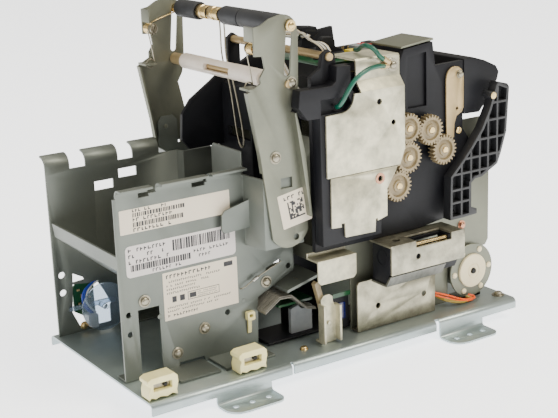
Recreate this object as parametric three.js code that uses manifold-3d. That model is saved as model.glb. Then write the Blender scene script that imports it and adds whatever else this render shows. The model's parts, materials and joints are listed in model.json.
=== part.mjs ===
// Thermal receipt printer module: a folded base plate carries an open paper bucket at one end
// and the geared print mechanism at the other, with a sprung paper tension bar between them.
// Millimetres, +Z up. The origin is on the floor, midway along and across the base plate.
// +X runs along the base plate from the paper bucket to the stepper motor, -Y is the near side.
import * as THREE from "three";
import { mergeVertices } from "three/addons/utils/BufferGeometryUtils.js";
import Module from "manifold-3d";

const wasm = await Module();
wasm.setup();

// ---- driving dimensions -------------------------------------------------------------------
const GAP = 0.3;              // clearance between neighbouring pieces
const SHEET = 1.2;            // thickness of the zinc-plated sheet steel
const PLATE_HALF_X = 125;     // half of the base plate's length
const PLATE_HALF_Y = 62;      // half of the base plate's depth
const PLATE_TOP = 12;         // top face of the base plate
const FOOT_REACH = 15;        // how far each mounting foot stands out from the plate's edge
const FLANGE_BOTTOM = 5.7;    // lower edge of the plate's flanges
const BEND = 2.8;             // outer radius of the plate's bends
const NEAR_WALL_Y = -29.2;    // outer face of the near bucket wall
const FAR_WALL_Y = 55.8;      // outer face of the far bucket wall
const WALL_LEFT = -122.8;     // free end of both bucket walls
const JOGGLE = 17;            // how far each wall steps outward to carry its arm
const JOGGLE_X0 = -45.6;      // where the step starts
const JOGGLE_X1 = -43.6;      // where the step ends
const BOSS_RIGHT = -18.6;     // end of the stepped part
const BOSS_BOTTOM = 72.9;     // lower edge of the stepped part
const WALL_TOP = 112;         // straight top edge of the near wall
const FAR_WALL_TOP = 110;     // straight top edge of the far wall
const NEAR_HOOK = { radius: 3.6, top: 117, lip: 4.2 };   // flat lips curled off the near wall
const FAR_HOOK = { radius: 6, top: 118.7, lip: 1 };      // rounder lips curled off the far wall
const CRADLE_FAR_Y = 52;      // far end of the paper cradle
const ARM_NEAR_Y = -47.7;     // outer face of the near arm
const ARM_FAR_Y = 74.3;       // outer face of the far arm
const TAB_REACH = 9.6;        // how far each arm's spring tabs reach inward
const BAR = { x: -24.5, z: 191.5, r: 1.7 };      // tension bar
const GUIDE = { x: -26.6, z: 161.2, r: 2 };      // fixed guide shaft
const SPRING = { x: -44, z: 181 };               // bush that carries each torsion spring
const SLOT_BOTTOM = { x: -26.9, z: 167.2 };      // lower end of the arm's slot
const TOP_SHAFT = { x: -1.2, z: 172.6, r: 2.2 };   // shaft across the top of the mechanism
const SHIELD_Y = -58;         // outer face of the zinc shield
const GEAR_FRONT = -56.4;     // near face of the gears
const GEAR_BACK = -51.8;      // far face of the gears
const FRAME_Y0 = -49;         // near face of the near side frame
const FRAME_Y1 = -46;         // far face of the near side frame
const FAR_FRAME_Y0 = 46;      // near face of the far side frame
const FAR_FRAME_Y1 = 49;      // far face of the far side frame
const MODULE = 0.7;           // gear tooth module
const PIN_R = 1.9;            // gear pins
const BACK_PLATE_Y = -42;     // near face of the zinc mechanism plate
const COVER_Y = -66;          // near face of the presenter cover
const RIB = 1.3;              // thickness of the moulded bracket's ribs
const LOWER_PLATE_Y = -48.5;  // near face of the presenter's mounting plate
const MOTOR = { x: 104.4, z: 29.8, r: 16.6, y: -45 };

// ---- materials ----------------------------------------------------------------------------
function finish(color, roughness, metalness) {
  return new THREE.MeshStandardMaterial({ color, roughness, metalness });
}
const zinc = finish(0xb9bdb4, 0.45, 0.8);
const zincBlue = finish(0x9fb0b8, 0.4, 0.8);
const blackPlastic = finish(0x26272b, 0.55, 0);
const blackRubber = finish(0x2a2c30, 0.75, 0);
const nylon = finish(0xe9e6dc, 0.45, 0);
const creamNylon = finish(0xe8e0a8, 0.5, 0);
const brass = finish(0xc9a254, 0.3, 0.95);
const steel = finish(0xc7c5bd, 0.25, 1);
const tanSteel = finish(0xc9b893, 0.4, 0.6);
const clearBlue = finish(0x9fb6cf, 0.1, 0);
const boardGreen = finish(0x1f7a3a, 0.5, 0);
const greenWire = finish(0x08785a, 0.45, 0);
const orangeWire = finish(0xf06a18, 0.45, 0);
const creamWire = finish(0xd9cbb0, 0.5, 0);

// ---- solids -------------------------------------------------------------------------------
const printer = new THREE.Group();

function toSolid(geometry) {
  const bare = geometry.clone();
  bare.deleteAttribute("normal");
  bare.deleteAttribute("uv");
  const merged = mergeVertices(bare, 1e-4);
  const index = merged.index.array;
  const solid = new wasm.Manifold(new wasm.Mesh({
    numProp: 3,
    vertProperties: new Float32Array(merged.attributes.position.array),
    triVerts: new Uint32Array(index),
  }));
  return solid;
}

function toGeometry(solid) {
  const mesh = solid.getMesh();
  const positions = new Float32Array(mesh.vertProperties);
  const geometry = new THREE.BufferGeometry();
  geometry.setAttribute("position", new THREE.BufferAttribute(positions, 3));
  geometry.setIndex(new THREE.BufferAttribute(new Uint32Array(mesh.triVerts), 1));
  geometry.computeVertexNormals();
  return geometry;
}

function join(...solids) {
  return solids.reduce((whole, piece) => whole.add(piece));
}

function cut(solid, ...tools) {
  return tools.reduce((rest, tool) => rest.subtract(tool), solid);
}

function node(name, solid, material) {
  const mesh = new THREE.Mesh(toGeometry(solid), material);
  mesh.name = name;
  printer.add(mesh);
}

function box(x0, x1, y0, y1, z0, z1) {
  const geometry = new THREE.BoxGeometry(x1 - x0, y1 - y0, z1 - z0);
  geometry.translate((x0 + x1) / 2, (y0 + y1) / 2, (z0 + z1) / 2);
  return toSolid(geometry);
}

function outline(points) {
  return new THREE.Shape(points.map(([a, b]) => new THREE.Vector2(a, b)));
}

function extrude(shape, depth, curveSegments = 6) {
  return new THREE.ExtrudeGeometry(shape, { depth, bevelEnabled: false, curveSegments });
}

// An outline drawn in X and Z, with its thickness along Y.
function plateXZ(points, y0, y1) {
  const shape = points instanceof THREE.Shape ? points : outline(points);
  return toSolid(extrude(shape, y1 - y0).rotateX(Math.PI / 2).translate(0, y1, 0));
}

// An outline drawn in X and Y, with its thickness along Z.
function plateXY(points, z0, z1) {
  const shape = points instanceof THREE.Shape ? points : outline(points);
  return toSolid(extrude(shape, z1 - z0).translate(0, 0, z0));
}

// An outline drawn in Y and Z, with its thickness along X.
function plateYZ(points, x0, x1) {
  const shape = points instanceof THREE.Shape ? points : outline(points);
  const turn = new THREE.Matrix4().set(0, 0, 1, x0, 1, 0, 0, 0, 0, 1, 0, 0, 0, 0, 0, 1);
  return toSolid(extrude(shape, x1 - x0).applyMatrix4(turn));
}

function rodY(x, z, y0, y1, radius, sides = 16) {
  const geometry = new THREE.CylinderGeometry(radius, radius, y1 - y0, sides);
  return toSolid(geometry.translate(x, (y0 + y1) / 2, z));
}

function rodX(y, z, x0, x1, radius, sides = 12) {
  const geometry = new THREE.CylinderGeometry(radius, radius, x1 - x0, sides).rotateZ(Math.PI / 2);
  return toSolid(geometry.translate((x0 + x1) / 2, y, z));
}

function rodZ(x, y, z0, z1, radius, sides = 12) {
  const geometry = new THREE.CylinderGeometry(radius, radius, z1 - z0, sides).rotateX(Math.PI / 2);
  return toSolid(geometry.translate(x, y, (z0 + z1) / 2));
}

function wire(points, radius, steps, sides = 8) {
  const path = new THREE.CatmullRomCurve3(points.map((point) => new THREE.Vector3(...point)));
  const section = new THREE.Shape();
  section.absarc(0, 0, radius, 0, 2 * Math.PI);
  const settings = { steps, extrudePath: path, bevelEnabled: false, curveSegments: sides / 2 };
  return toSolid(new THREE.ExtrudeGeometry(section, settings));
}

// Points of an arc from one angle to another, in degrees.
function arc(cx, cy, radius, from, to, steps) {
  const points = [];
  for (let i = 0; i <= steps; i += 1) {
    const angle = THREE.MathUtils.degToRad(from + (to - from) * i / steps);
    points.push([cx + radius * Math.cos(angle), cy + radius * Math.sin(angle)]);
  }
  return points;
}

// A rounded slot in X and Z between two points.
function slotXZ(a, b, radius, y0, y1) {
  const angle = THREE.MathUtils.radToDeg(Math.atan2(b.z - a.z, b.x - a.x));
  const points = [
    ...arc(b.x, b.z, radius, angle - 90, angle + 90, 6),
    ...arc(a.x, a.z, radius, angle + 90, angle + 270, 6),
  ];
  return plateXZ(points, y0, y1);
}

// ---- base plate ---------------------------------------------------------------------------
// Section of the plate's bent edge in Y and Z on one side, ending at the flange's lower edge.
function flangeSection(side) {
  const centre = [PLATE_HALF_Y - BEND, PLATE_TOP - BEND];
  const points = [
    ...arc(...centre, BEND, 90, 0, 4), [PLATE_HALF_Y, FLANGE_BOTTOM],
    [PLATE_HALF_Y - SHEET, FLANGE_BOTTOM], ...arc(...centre, BEND - SHEET, 0, 90, 4),
  ];
  return points.map(([y, z]) => [side * y, z]);
}

// The same edge where it runs down to the floor and turns outward into a foot.
function footSection(side) {
  const top = [PLATE_HALF_Y - BEND, PLATE_TOP - BEND];
  const toe = [PLATE_HALF_Y + BEND - SHEET, BEND];
  const points = [
    ...arc(...top, BEND, 90, 0, 4), ...arc(...toe, BEND - SHEET, 180, 270, 4), [toe[0] + 0.5, SHEET],
    [toe[0] + 0.5, 0], ...arc(...toe, BEND, 270, 180, 4), ...arc(...top, BEND - SHEET, 0, 90, 4),
  ];
  return points.map(([y, z]) => [side * y, z]);
}

function basePlate() {
  const flat = PLATE_HALF_Y - BEND + 0.1;
  let plate = box(-PLATE_HALF_X, PLATE_HALF_X, -flat, flat, PLATE_TOP - SHEET, PLATE_TOP);
  const feet = [{ x0: -87, x1: -53 }, { x0: 65, x1: 98 }];
  const slits = [{ x0: -39.4, x1: -38 }, { x0: 62.2, x1: 65 }];
  for (const side of [-1, 1]) {
    let edge = plateYZ(flangeSection(side), -PLATE_HALF_X, PLATE_HALF_X);
    const [low, high] = side < 0 ? [-80, -flat - 0.3] : [flat + 0.3, 80];
    for (const { x0, x1 } of slits) {
      edge = edge.subtract(box(x0, x1, low, high, 4, 13));
    }
    plate = plate.add(edge);
    for (const { x0, x1 } of feet) {
      const heel = PLATE_HALF_Y + BEND - SHEET;
      const tip = PLATE_HALF_Y + FOOT_REACH;
      const tab = [[x0, heel], [x0, tip - 9], ...arc(x0 + 9, tip - 9, 9, 180, 115, 4), [x0 + 10, tip],
        ...arc(x1 - 5, tip - 5, 5, 90, 0, 4), [x1, heel]].map(([x, y]) => [x, side * y]);
      let foot = join(plateYZ(footSection(side), x0, x1), plateXY(tab, 0, SHEET));
      for (const step of [0.2, 0.5, 0.8]) {
        foot = foot.subtract(rodZ(x0 + (x1 - x0) * step, side * (PLATE_HALF_Y + 7), -1, 3, 1.7, 10));
      }
      plate = plate.add(foot);
    }
  }
  node("base_plate", plate, zincBlue);
}

// ---- paper bucket -------------------------------------------------------------------------
// One lip on top of a wall, curled outward from the wall's inner face. outward is +1 or -1 along Y.
function hook(x0, x1, inner, outward, { radius, top, lip }, wallTop) {
  const outer = inner + outward * SHEET;
  const centre = [inner + outward * radius, top - radius];
  const from = outward > 0 ? 180 : 0;
  const points = [
    ...arc(...centre, radius, from, 90, 5),
    [centre[0] + outward * lip, top],
    [centre[0] + outward * lip, top - SHEET],
    ...arc(...centre, radius - SHEET, 90, from, 5),
    [outer, wallTop - 2],
    [inner, wallTop - 2],
  ];
  return plateYZ(points, x0, x1);
}

// The part of a wall that steps outward beside its arm, for a wall whose outer face is at y.
function steppedPart(y, outward, top) {
  const inner = y - outward * SHEET;
  const face = y + outward * JOGGLE;
  const back = face - outward * SHEET;
  const points = [
    [JOGGLE_X0 - 3, y], [JOGGLE_X0, y], [JOGGLE_X1, face], [BOSS_RIGHT, face],
    [BOSS_RIGHT, back], [JOGGLE_X1 + SHEET, back], [JOGGLE_X0 + SHEET, inner], [JOGGLE_X0 - 3, inner],
  ];
  return plateXY(points, BOSS_BOTTOM, top);
}

function nearWall() {
  const inner = NEAR_WALL_Y + SHEET;
  const face = [
    [WALL_LEFT, PLATE_TOP + GAP], [-113, PLATE_TOP + GAP], [-113, 50.5], [-100, 50.5],
    [-100, PLATE_TOP + GAP], [-91, PLATE_TOP + GAP], [-90, 15.5], [-75, 15.5], [-74, PLATE_TOP + GAP],
    [-40, PLATE_TOP + GAP], [-39, 41], [-15.2, 51.5], [-14.5, 53.5], [-14.5, BOSS_BOTTOM - 0.4],
    [JOGGLE_X0, BOSS_BOTTOM - 0.4], [JOGGLE_X0, WALL_TOP], [WALL_LEFT, WALL_TOP],
  ];
  const flap = [[-44.5, 83.8], [-60.6, 83], [-62.5, 85], [-62.2, 93], [-60.2, 95.4], [-44.5, 99.2]];
  const hooks = [[-121.4, -103], [-98, -70], [-67.8, -46.5]]
    .map(([x0, x1]) => hook(x0, x1, inner, -1, NEAR_HOOK, WALL_TOP));
  let wall = plateXZ(face, NEAR_WALL_Y, inner);
  wall = join(wall, steppedPart(NEAR_WALL_Y, -1, WALL_TOP), ...hooks,
    box(WALL_LEFT, -112, NEAR_WALL_Y, -20, PLATE_TOP + GAP, PLATE_TOP + GAP + SHEET),
    box(-100, -75.5, -47.6, inner, PLATE_TOP + GAP, PLATE_TOP + GAP + SHEET),
    box(-72, -41, -47.6, inner, PLATE_TOP + GAP, PLATE_TOP + GAP + SHEET),
    plateXZ(flap, -33.6, -33.6 + SHEET));
  const holes = [[-118.4, 49.1], [-118.2, 38.3], [-58.9, 36.9], [-18.2, 54.9]];
  for (const [x, z] of holes) {
    wall = wall.subtract(rodY(x, z, NEAR_WALL_Y - 1, inner + 1, 1.7, 10));
  }
  wall = cut(wall,
    slotXZ({ x: -32.4, z: 55.9 }, { x: -24.3, z: 58.9 }, 1, NEAR_WALL_Y - 1, inner + 1),
    box(-108.5, -102, NEAR_WALL_Y - 1, inner + 1, 110.5, 113),
    box(-77, -69, NEAR_WALL_Y - 1, inner + 1, 110.5, 113));
  node("bucket_near_wall", wall, zincBlue);
}

function farWall() {
  const inner = FAR_WALL_Y - SHEET;
  const opening = [[-109, 15], [-113.5, 25], [-112, 42], [-96, 40], [-90, 28], [-90, 15]];
  const triangle = [[-111.6, 48.5], [-105.2, 45], [-104.5, 43.4], [-112, 42.9]];
  // Past the rear wall the sheet steps inward to line up with the print mechanism.
  const inset = [
    [-39.7, FAR_WALL_Y], [-38.2, FAR_WALL_Y], [-36.4, 50.8], [-18.2, 50.8],
    [-18.2, 49.6], [-37.3, 49.6], [-39.1, inner], [-39.7, inner],
  ];
  // A rounded tab stands up from the stepped part behind the far arm.
  const tab = [[-41.2, 108], [-41.2, 124.5], [-38.6, 127.5], [-31, 127.5], [-28.3, 124.5], [-28.3, 108]];
  const lug = FAR_WALL_Y + JOGGLE;
  const hooks = [[-122.8, -108], [-98.1, -77.7], [-68, -50.9]]
    .map(([x0, x1]) => hook(x0, x1, inner, 1, FAR_HOOK, FAR_WALL_TOP));
  let wall = box(WALL_LEFT, -38.7, inner, FAR_WALL_Y, PLATE_TOP + GAP, FAR_WALL_TOP);
  wall = join(wall, plateXY(inset, PLATE_TOP + GAP, FAR_WALL_TOP),
    steppedPart(FAR_WALL_Y, 1, FAR_WALL_TOP), plateXZ(tab, lug - SHEET, lug), ...hooks,
    box(-84, -44, FAR_WALL_Y - 9, FAR_WALL_Y, PLATE_TOP + GAP, PLATE_TOP + GAP + SHEET));
  wall = cut(wall,
    plateXZ(opening, inner - 1, FAR_WALL_Y + 1),
    plateXZ(triangle, inner - 1, FAR_WALL_Y + 1),
    box(-93.6, -81.5, inner - 1, FAR_WALL_Y + 1, 94.5, 100),
    box(-78, -66.2, inner - 1, FAR_WALL_Y + 1, 99.5, 105),
    rodY(-118.2, 48.8, inner - 1, FAR_WALL_Y + 1, 2.1, 12),
    rodY(-118.2, 38.1, inner - 1, FAR_WALL_Y + 1, 2.1, 12));
  node("bucket_far_wall", wall, zincBlue);
}

function rearWall() {
  const x0 = -45.5;
  const face = [
    [NEAR_WALL_Y + SHEET + GAP, PLATE_TOP + GAP], [10, PLATE_TOP + GAP], [10, 95], [3, 100], [3, 122],
    [1, 124.5], [NEAR_WALL_Y + SHEET + GAP, 124.5],
  ];
  const sheet = plateYZ(face, x0, x0 + SHEET);
  const returnFlange = box(x0 + 0.2, -20, 8.8, 10, PLATE_TOP + GAP, 92);
  node("bucket_rear_wall", join(sheet, returnFlange), zincBlue);
}

// The folded sheet that the paper roll sits in, with its lip at the open end of the bucket.
function paperCradle() {
  const top = [[-121.4, 81.5], [-120.2, 74], [-92, 50], [-70, 44], [-47, 50]];
  const under = [[-47, 48.6], [-70, 42.6], [-92.6, 48.8], [-121.6, 73.4], [-122.8, 81.5]];
  const sheet = plateXZ([...top, ...under], NEAR_WALL_Y + SHEET + GAP, CRADLE_FAR_Y);
  const slot = box(-78, -66, 20, 30, 30, 60);
  node("paper_cradle", cut(sheet, slot), zincBlue);
}

function lowPaperSensor() {
  const hub = rodY(-96.9, 27.8, 44, 53.6, 1.6, 12);
  const strip = box(-115.5, -87.5, 52.6, FAR_WALL_Y - SHEET - GAP, 26.6, 29);
  node("sensor_disc", join(rodY(-96.9, 27.8, 45, 46, 14.4, 32), hub, strip), clearBlue);
}

// A nylon saddle clip that holds a cable to the plate.
function cableClip(name, x) {
  const y0 = -58.2;
  const body = join(
    box(x - 9, x + 9, y0, y0 + 9.5, PLATE_TOP + GAP, PLATE_TOP + 2.2),
    box(x - 9, x + 9, y0, y0 + 2, PLATE_TOP + 2, PLATE_TOP + 12.6),
    box(x - 9, x + 9, y0 + 7.5, y0 + 9.5, PLATE_TOP + 2, PLATE_TOP + 9),
    box(x - 9, x + 9, y0, y0 + 6, PLATE_TOP + 11, PLATE_TOP + 12.6));
  const window = box(x - 5.5, x + 5.5, y0 - 1, y0 + 3, PLATE_TOP + 4.5, PLATE_TOP + 9);
  node(name, body.subtract(window), creamNylon);
}

// ---- tension bar arms ---------------------------------------------------------------------
// Both arms share one outline. outward is -1 for the near arm and +1 for the far arm.
function arm(name, face, outward, flangeReach) {
  const back = face - outward * SHEET;
  const [y0, y1] = [face, back].sort((a, b) => a - b);
  const span = (from, to) => [from, to].sort((a, b) => a - b);
  const points = [
    ...arc(-28.6, 85, 12.8, 213, 340, 8),
    [-20.8, 123.7], [-25.6, 146], [-21.9, 152.2], [-20.2, 160.3], [-19.5, 185.3],
    ...arc(-28.9, 188.6, 9, 12, 100, 6),
    [-36.9, 196], [-42.2, 193.1], [-46.7, 192.3], [-46.7, 177.6], [-41.7, 177.2],
    [-40.6, 170.9], [-43.5, 166.6], [-43.5, 163.4], [-51.7, 159.1], [-45.5, 126.6],
  ];
  const flange = [[-25.6, 146], [-24.4, 146.2], [-19.6, 123.9], [-16.2, 88.4], [-17.4, 88.4]];
  const rolled = [
    [-51.7, 159.1], [-50.5, 159.1], [-44.3, 126.6], [-43, 115.4], [-44, 115.4], [-45.5, 126.6],
  ];
  const tabEnd = face - outward * TAB_REACH;
  let solid = join(plateXZ(points, y0, y1),
    plateXZ(flange, ...span(face - outward * 0.2, face + outward * flangeReach)),
    plateXZ(rolled, ...span(back + outward * 0.2, back - outward * 2.4)),
    box(-46.7, -45.5, ...span(face, tabEnd), 184.8, 192.3),
    box(-50.5, -43, ...span(face, tabEnd), 160, 161.2),
    rodY(SPRING.x, SPRING.z, ...span(face, back - outward * 7.2), 2, 14));
  const through = [y0 - 1, y1 + 1];
  solid = cut(solid,
    slotXZ(SLOT_BOTTOM, BAR, BAR.r + 0.25, ...through),
    rodY(GUIDE.x, GUIDE.z, ...through, GUIDE.r + 0.1, 16),
    rodY(-24.4, 77.5, ...through, 1.9, 12),
    box(-33.3, -26, ...through, 105.6, 111.4));
  node(name, solid, zinc);
}

function tensionBar() {
  let bar = rodY(BAR.x, BAR.z, ARM_NEAR_Y - 2.4, ARM_FAR_Y + 2.4, BAR.r, 16);
  bar = bar.add(rodY(BAR.x, BAR.z, ARM_NEAR_Y - 1.7, ARM_NEAR_Y - GAP, 2.5, 14));
  bar = bar.add(rodY(BAR.x, BAR.z, ARM_FAR_Y + GAP, ARM_FAR_Y + 1.7, 2.5, 14));
  node("tension_bar", bar, steel);
}

function sleeve(name, y0, y1, radius, material) {
  const bore = rodY(BAR.x, BAR.z, y0 - 1, y1 + 1, BAR.r + 0.15, 16);
  node(name, rodY(BAR.x, BAR.z, y0, y1, radius, 24).subtract(bore), material);
}

function tensionRollers() {
  const rubber = 5.2;
  const bush = 4;
  sleeve("rubber_roller_1", 43.2, 66, rubber, blackRubber);
  sleeve("brass_bush_1", 32.2, 42.9, bush, brass);
  sleeve("brass_bush_2", 19.4, 30.6, bush, brass);
  sleeve("rubber_roller_2", -2.6, 15.6, rubber, blackRubber);
  sleeve("rubber_roller_3", -37, -3.2, rubber, blackRubber);
}

function guideShaftAndTube() {
  const { x, z, r } = GUIDE;
  node("guide_shaft", rodY(x, z, ARM_NEAR_Y - 1.2, ARM_FAR_Y + 1.2, r, 16), steel);
  const tube = rodY(x, z, -24.4, 59.7, 4.6, 20).subtract(rodY(x, z, -26, 61, r + 0.15, 16));
  const window = { y0: 4.8, y1: 31.9 };
  node("guide_tube", cut(tube,
    box(x - 6, x + 6, window.y0, window.y1, z - 1.6, z + 2.2),
    box(x + 0.6, x + 6, window.y0, window.y1, z - 6, z + 6)), nylon);
}

// Two parallel wires behind the bar that keep the paper off the guide tube, joined at the bottom.
function wireGuide() {
  const x = -19.6;
  const leg = (shift) => [[189, 26.3], [184, 25.7], [165, 24.4], [155.5, 19.6], [118, 10.1]]
    .map(([z, y]) => [x, y + shift, z]);
  const loop = [...leg(0), [x, 12, 115.8], ...leg(4.6).reverse()];
  node("wire_guide", wire(loop, 0.45, 36, 6), steel);
}

// A torsion spring wound on the bush inside each arm; its leg lifts the tension bar.
function tensionSpring(suffix, back, inward) {
  const [y0, y1] = [back + inward * GAP, back + inward * 6.6].sort((a, b) => a - b);
  const { x, z } = SPRING;
  const coil = rodY(x, z, y0, y1, 3.4, 18).subtract(rodY(x, z, y0 - 1, y1 + 1, 2.3, 14));
  const y = back + inward * 1.2;
  const leg = wire([[-43.2, y, 183.75], [-36, y, 185.7], [-24.5, y, 188.9], [-21.5, y, 189.75]],
    0.4, 8, 6);
  node(`torsion_spring_${suffix}`, join(coil, leg), brass);
}

// ---- print mechanism ----------------------------------------------------------------------
const GEARS = [
  { name: "idler_gear_upper", x: 47.6, z: 127.5, teeth: 23 },
  { name: "platen_gear", x: 63.4, z: 124.4, teeth: 23 },
  { name: "feed_gear", x: 73.2, z: 111.6, teeth: 23 },
  { name: "idler_gear_lower", x: 47.3, z: 111.05, teeth: 24 },
  { name: "motor_gear", x: 39.7, z: 96.1, teeth: 24 },
];

// Angle of the first tooth of each gear, so that neighbours mesh at rest.
function meshAngle(from, to, angle) {
  const line = Math.atan2(to.z - from.z, to.x - from.x);
  return line + Math.PI - (angle - line) * from.teeth / to.teeth - Math.PI / to.teeth;
}

function gear(spec, angle, y0, y1, material) {
  const pitch = MODULE * spec.teeth / 2;
  const tip = pitch + MODULE * 0.95;
  const root = pitch - MODULE * 1.25;
  const step = 2 * Math.PI / spec.teeth;
  // Half-width of a tooth as a share of the tooth pitch, at the root, pitch circle and tip.
  const profile = [[root, 0.3], [pitch, 0.222], [tip, 0.1]];
  const points = [];
  for (let tooth = 0; tooth < spec.teeth; tooth += 1) {
    const centre = angle + tooth * step;
    for (const [radius, share] of profile) {
      const a = centre - share * step;
      points.push([spec.x + radius * Math.cos(a), spec.z + radius * Math.sin(a)]);
    }
    for (const [radius, share] of [...profile].reverse()) {
      const a = centre + share * step;
      points.push([spec.x + radius * Math.cos(a), spec.z + radius * Math.sin(a)]);
    }
  }
  let body = plateXZ(points, y0, y1);
  const face = rodY(spec.x, spec.z, y0 - 1, y0 + 1.2, root - 1.3, 24)
    .subtract(rodY(spec.x, spec.z, y0 - 2, y0 + 2, 3.6, 16));
  body = body.subtract(face);
  const driven = spec.name === "motor_gear";
  body = driven ? body.add(gearShaft(spec, BACK_PLATE_Y + SHEET - 0.2))
    : body.subtract(rodY(spec.x, spec.z, y0 - 1, y1 + 1, PIN_R + 0.1, 16));
  node(spec.name, body, material);
}

function gearTrain() {
  const [upper, platen, feed, lower, motor] = GEARS;
  const angles = new Map([[platen, 0.1]]);
  angles.set(upper, meshAngle(platen, upper, angles.get(platen)));
  angles.set(feed, meshAngle(platen, feed, angles.get(platen)));
  angles.set(lower, meshAngle(upper, lower, angles.get(upper)));
  angles.set(motor, meshAngle(lower, motor, angles.get(lower)));
  for (const [spec, angle] of angles) {
    gear(spec, angle, GEAR_FRONT, GEAR_BACK, nylon);
  }
}

// A shaft that carries a gear at its near end, with a shoulder behind the gear.
function gearShaft(spec, far) {
  return join(
    rodY(spec.x, spec.z, GEAR_FRONT - 0.8, far, PIN_R, 14),
    rodY(spec.x, spec.z, GEAR_BACK + GAP, FRAME_Y0 - GAP, 3.4, 14));
}

function driveRollers() {
  const [, platen, feed] = GEARS;
  const far = FAR_FRAME_Y1 - GAP;
  node("platen_shaft", gearShaft(platen, far), brass);
  node("platen_rubber", rodY(platen.x, platen.z, -39, 39, 7, 20)
    .subtract(rodY(platen.x, platen.z, -42, 42, PIN_R + 0.1, 14)), blackRubber);
  node("feed_roller", join(gearShaft(feed, far), rodY(feed.x, feed.z, -39, 39, 5, 16)), steel);
}

function nearFrame() {
  const points = [
    [-13, 66], [-13, 163], [-6.4, 167], [-5.2, 173.6], [-1.2, 176.3], [2.8, 173.6], [3.6, 167.4],
    [12, 167.4], [12, 162.6],
    [46, 162.6], [50, 170.4], [70.5, 172.7], [72.5, 159], [93, 159.5], [93, 120], [99, 112], [92, 92],
    [92, 70],
    [60, 66],
  ];
  let frame = plateXZ(points, FRAME_Y0, FRAME_Y1);
  const recess = [[52.5, 137], [52.5, 166], [66, 167.6], [66, 137]];
  frame = frame.subtract(plateXZ(recess, FRAME_Y0 - 1, FRAME_Y0 + 1.8));
  for (const spec of GEARS) {
    frame = frame.subtract(rodY(spec.x, spec.z, FRAME_Y0 - 1, FRAME_Y1 + 1, PIN_R + 0.15, 14));
  }
  frame = frame.subtract(rodY(TOP_SHAFT.x, TOP_SHAFT.z, FRAME_Y0 - 1, FRAME_Y1 + 1, TOP_SHAFT.r + 0.15,
    14));
  node("near_side_frame", frame, blackPlastic);
}

function farFrame() {
  const points = [
    [-13, 66], [-13, 150], [-5.2, 156], [-5.2, 173.6], [-1.2, 176.3], [2.8, 173.6], [2.8, 158],
    [12, 162.6], [46, 162.6],
    [50, 170.4], [70.5, 172.7], [72.5, 159], [93, 159.5], [93, 120], [99, 112], [92, 92], [92, 66],
  ];
  let frame = plateXZ(points, FAR_FRAME_Y0, FAR_FRAME_Y1);
  for (const spec of GEARS.slice(1, 3)) {
    frame = frame.subtract(rodY(spec.x, spec.z, FAR_FRAME_Y0 - 1, FAR_FRAME_Y1 + 1, PIN_R + 0.15, 14));
  }
  const shaftHole = rodY(TOP_SHAFT.x, TOP_SHAFT.z, FAR_FRAME_Y0 - 1, FAR_FRAME_Y1 + 1,
    TOP_SHAFT.r + 0.15, 14);
  node("far_side_frame", frame.subtract(shaftHole), blackPlastic);
}

// The moulded throat between the frames: its cheeks reach over the bucket and lead the paper in.
function paperThroat() {
  const y0 = FRAME_Y1 + GAP;
  const y1 = FAR_FRAME_Y0 - GAP;
  const cheek = [[-9.9, 112], [-36, 112], [-41, 118], [-40, 133], [-34, 141], [-20, 150], [-10, 157]];
  const shell = join(
    box(-12.7, -10, -34.6, y1, 70, 149),
    box(-12.7, 30, y0, y1, 147, 149),
    plateXZ(cheek, y1 - 2.5, y1));
  const mouth = box(-14, -8, -38, 38, 118, 124);
  const ribs = [-30, -18, -6, 6].map((y) => box(-16.5, -12.5, y, y + 1.6, 95, 146));
  node("paper_throat", join(shell.subtract(mouth), ...ribs.map((rib) => rib.subtract(mouth))),
    blackPlastic);
}

function nearCover() {
  const points = [
    [-21, 142], [-26.4, 149.2], [-25.2, 158.2], [-5, 158.4], [-2, 160.4], [-1.2, 168.4], [7.6, 167.8],
    [7.6, 156], [12.5, 150], [27, 146], [27, 71], [-13, 71], [-13, 142],
  ];
  const y0 = SHIELD_Y + SHEET + GAP;
  const cover = plateXZ(points, y0, FRAME_Y0 - GAP);
  const recess = [[-12, 143.6], [-12, 151.5], [6, 151.5], [8, 148], [4, 143.8]];
  node("near_cover", cover.subtract(plateXZ(recess, y0 - 1, y0 + 4)), blackPlastic);
}

function shieldUpper() {
  const bend = [
    [-30, 170], [-52.6, 170], [-53.6, 169], [-53.6, 158.5], [SHIELD_Y, 153], [SHIELD_Y, 109],
    [SHIELD_Y + SHEET, 109], [SHIELD_Y + SHEET, 152.6], [-52.4, 158], [-52.4, 168.8], [-30, 168.8],
  ];
  let shield = plateYZ(bend, 8.9, 43).subtract(box(8, 13.3, SHIELD_Y - 1, -29, 152.5, 171));
  const panel = [
    [-10, 109], [-10, 142.8], [-1, 143.2], ...arc(0, 151.9, 8.7, -85, -5, 6), [9.5, 152.5], [9.5, 109],
  ];
  shield = shield.add(plateXZ(panel, SHIELD_Y, SHIELD_Y + SHEET));
  const corner = [[39.2, 108], [42.6, 117], [44, 117], [44, 108]];
  shield = cut(shield, plateXZ(corner, SHIELD_Y - 1, SHIELD_Y + 3),
    rodY(25.5, 146.1, SHIELD_Y - 1, SHIELD_Y + 3, 1.7, 14), rodY(35.1, 133.5, SHIELD_Y - 1,
      SHIELD_Y + 3, 1.5, 12));
  node("shield_upper", shield, zinc);
}

function shieldLower() {
  const points = [
    [-8, 81], [-1.5, 80.5], [-1.5, 82.5], [0.6, 82.5], [1.1, 74.3], [21.5, 73.6], [22, 81],
    [23.3, 81], [23.4, 79.6],
    [30, 81.3], [30.2, 97], [36.4, 106], [37.6, 108.6], [-7.7, 108.6],
  ];
  const plate = plateXZ(points, SHIELD_Y, SHIELD_Y + SHEET);
  node("shield_lower", plate.subtract(rodY(25.2, 103.4, SHIELD_Y - 1, SHIELD_Y + 3, 1.7, 14)), zinc);
}

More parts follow.
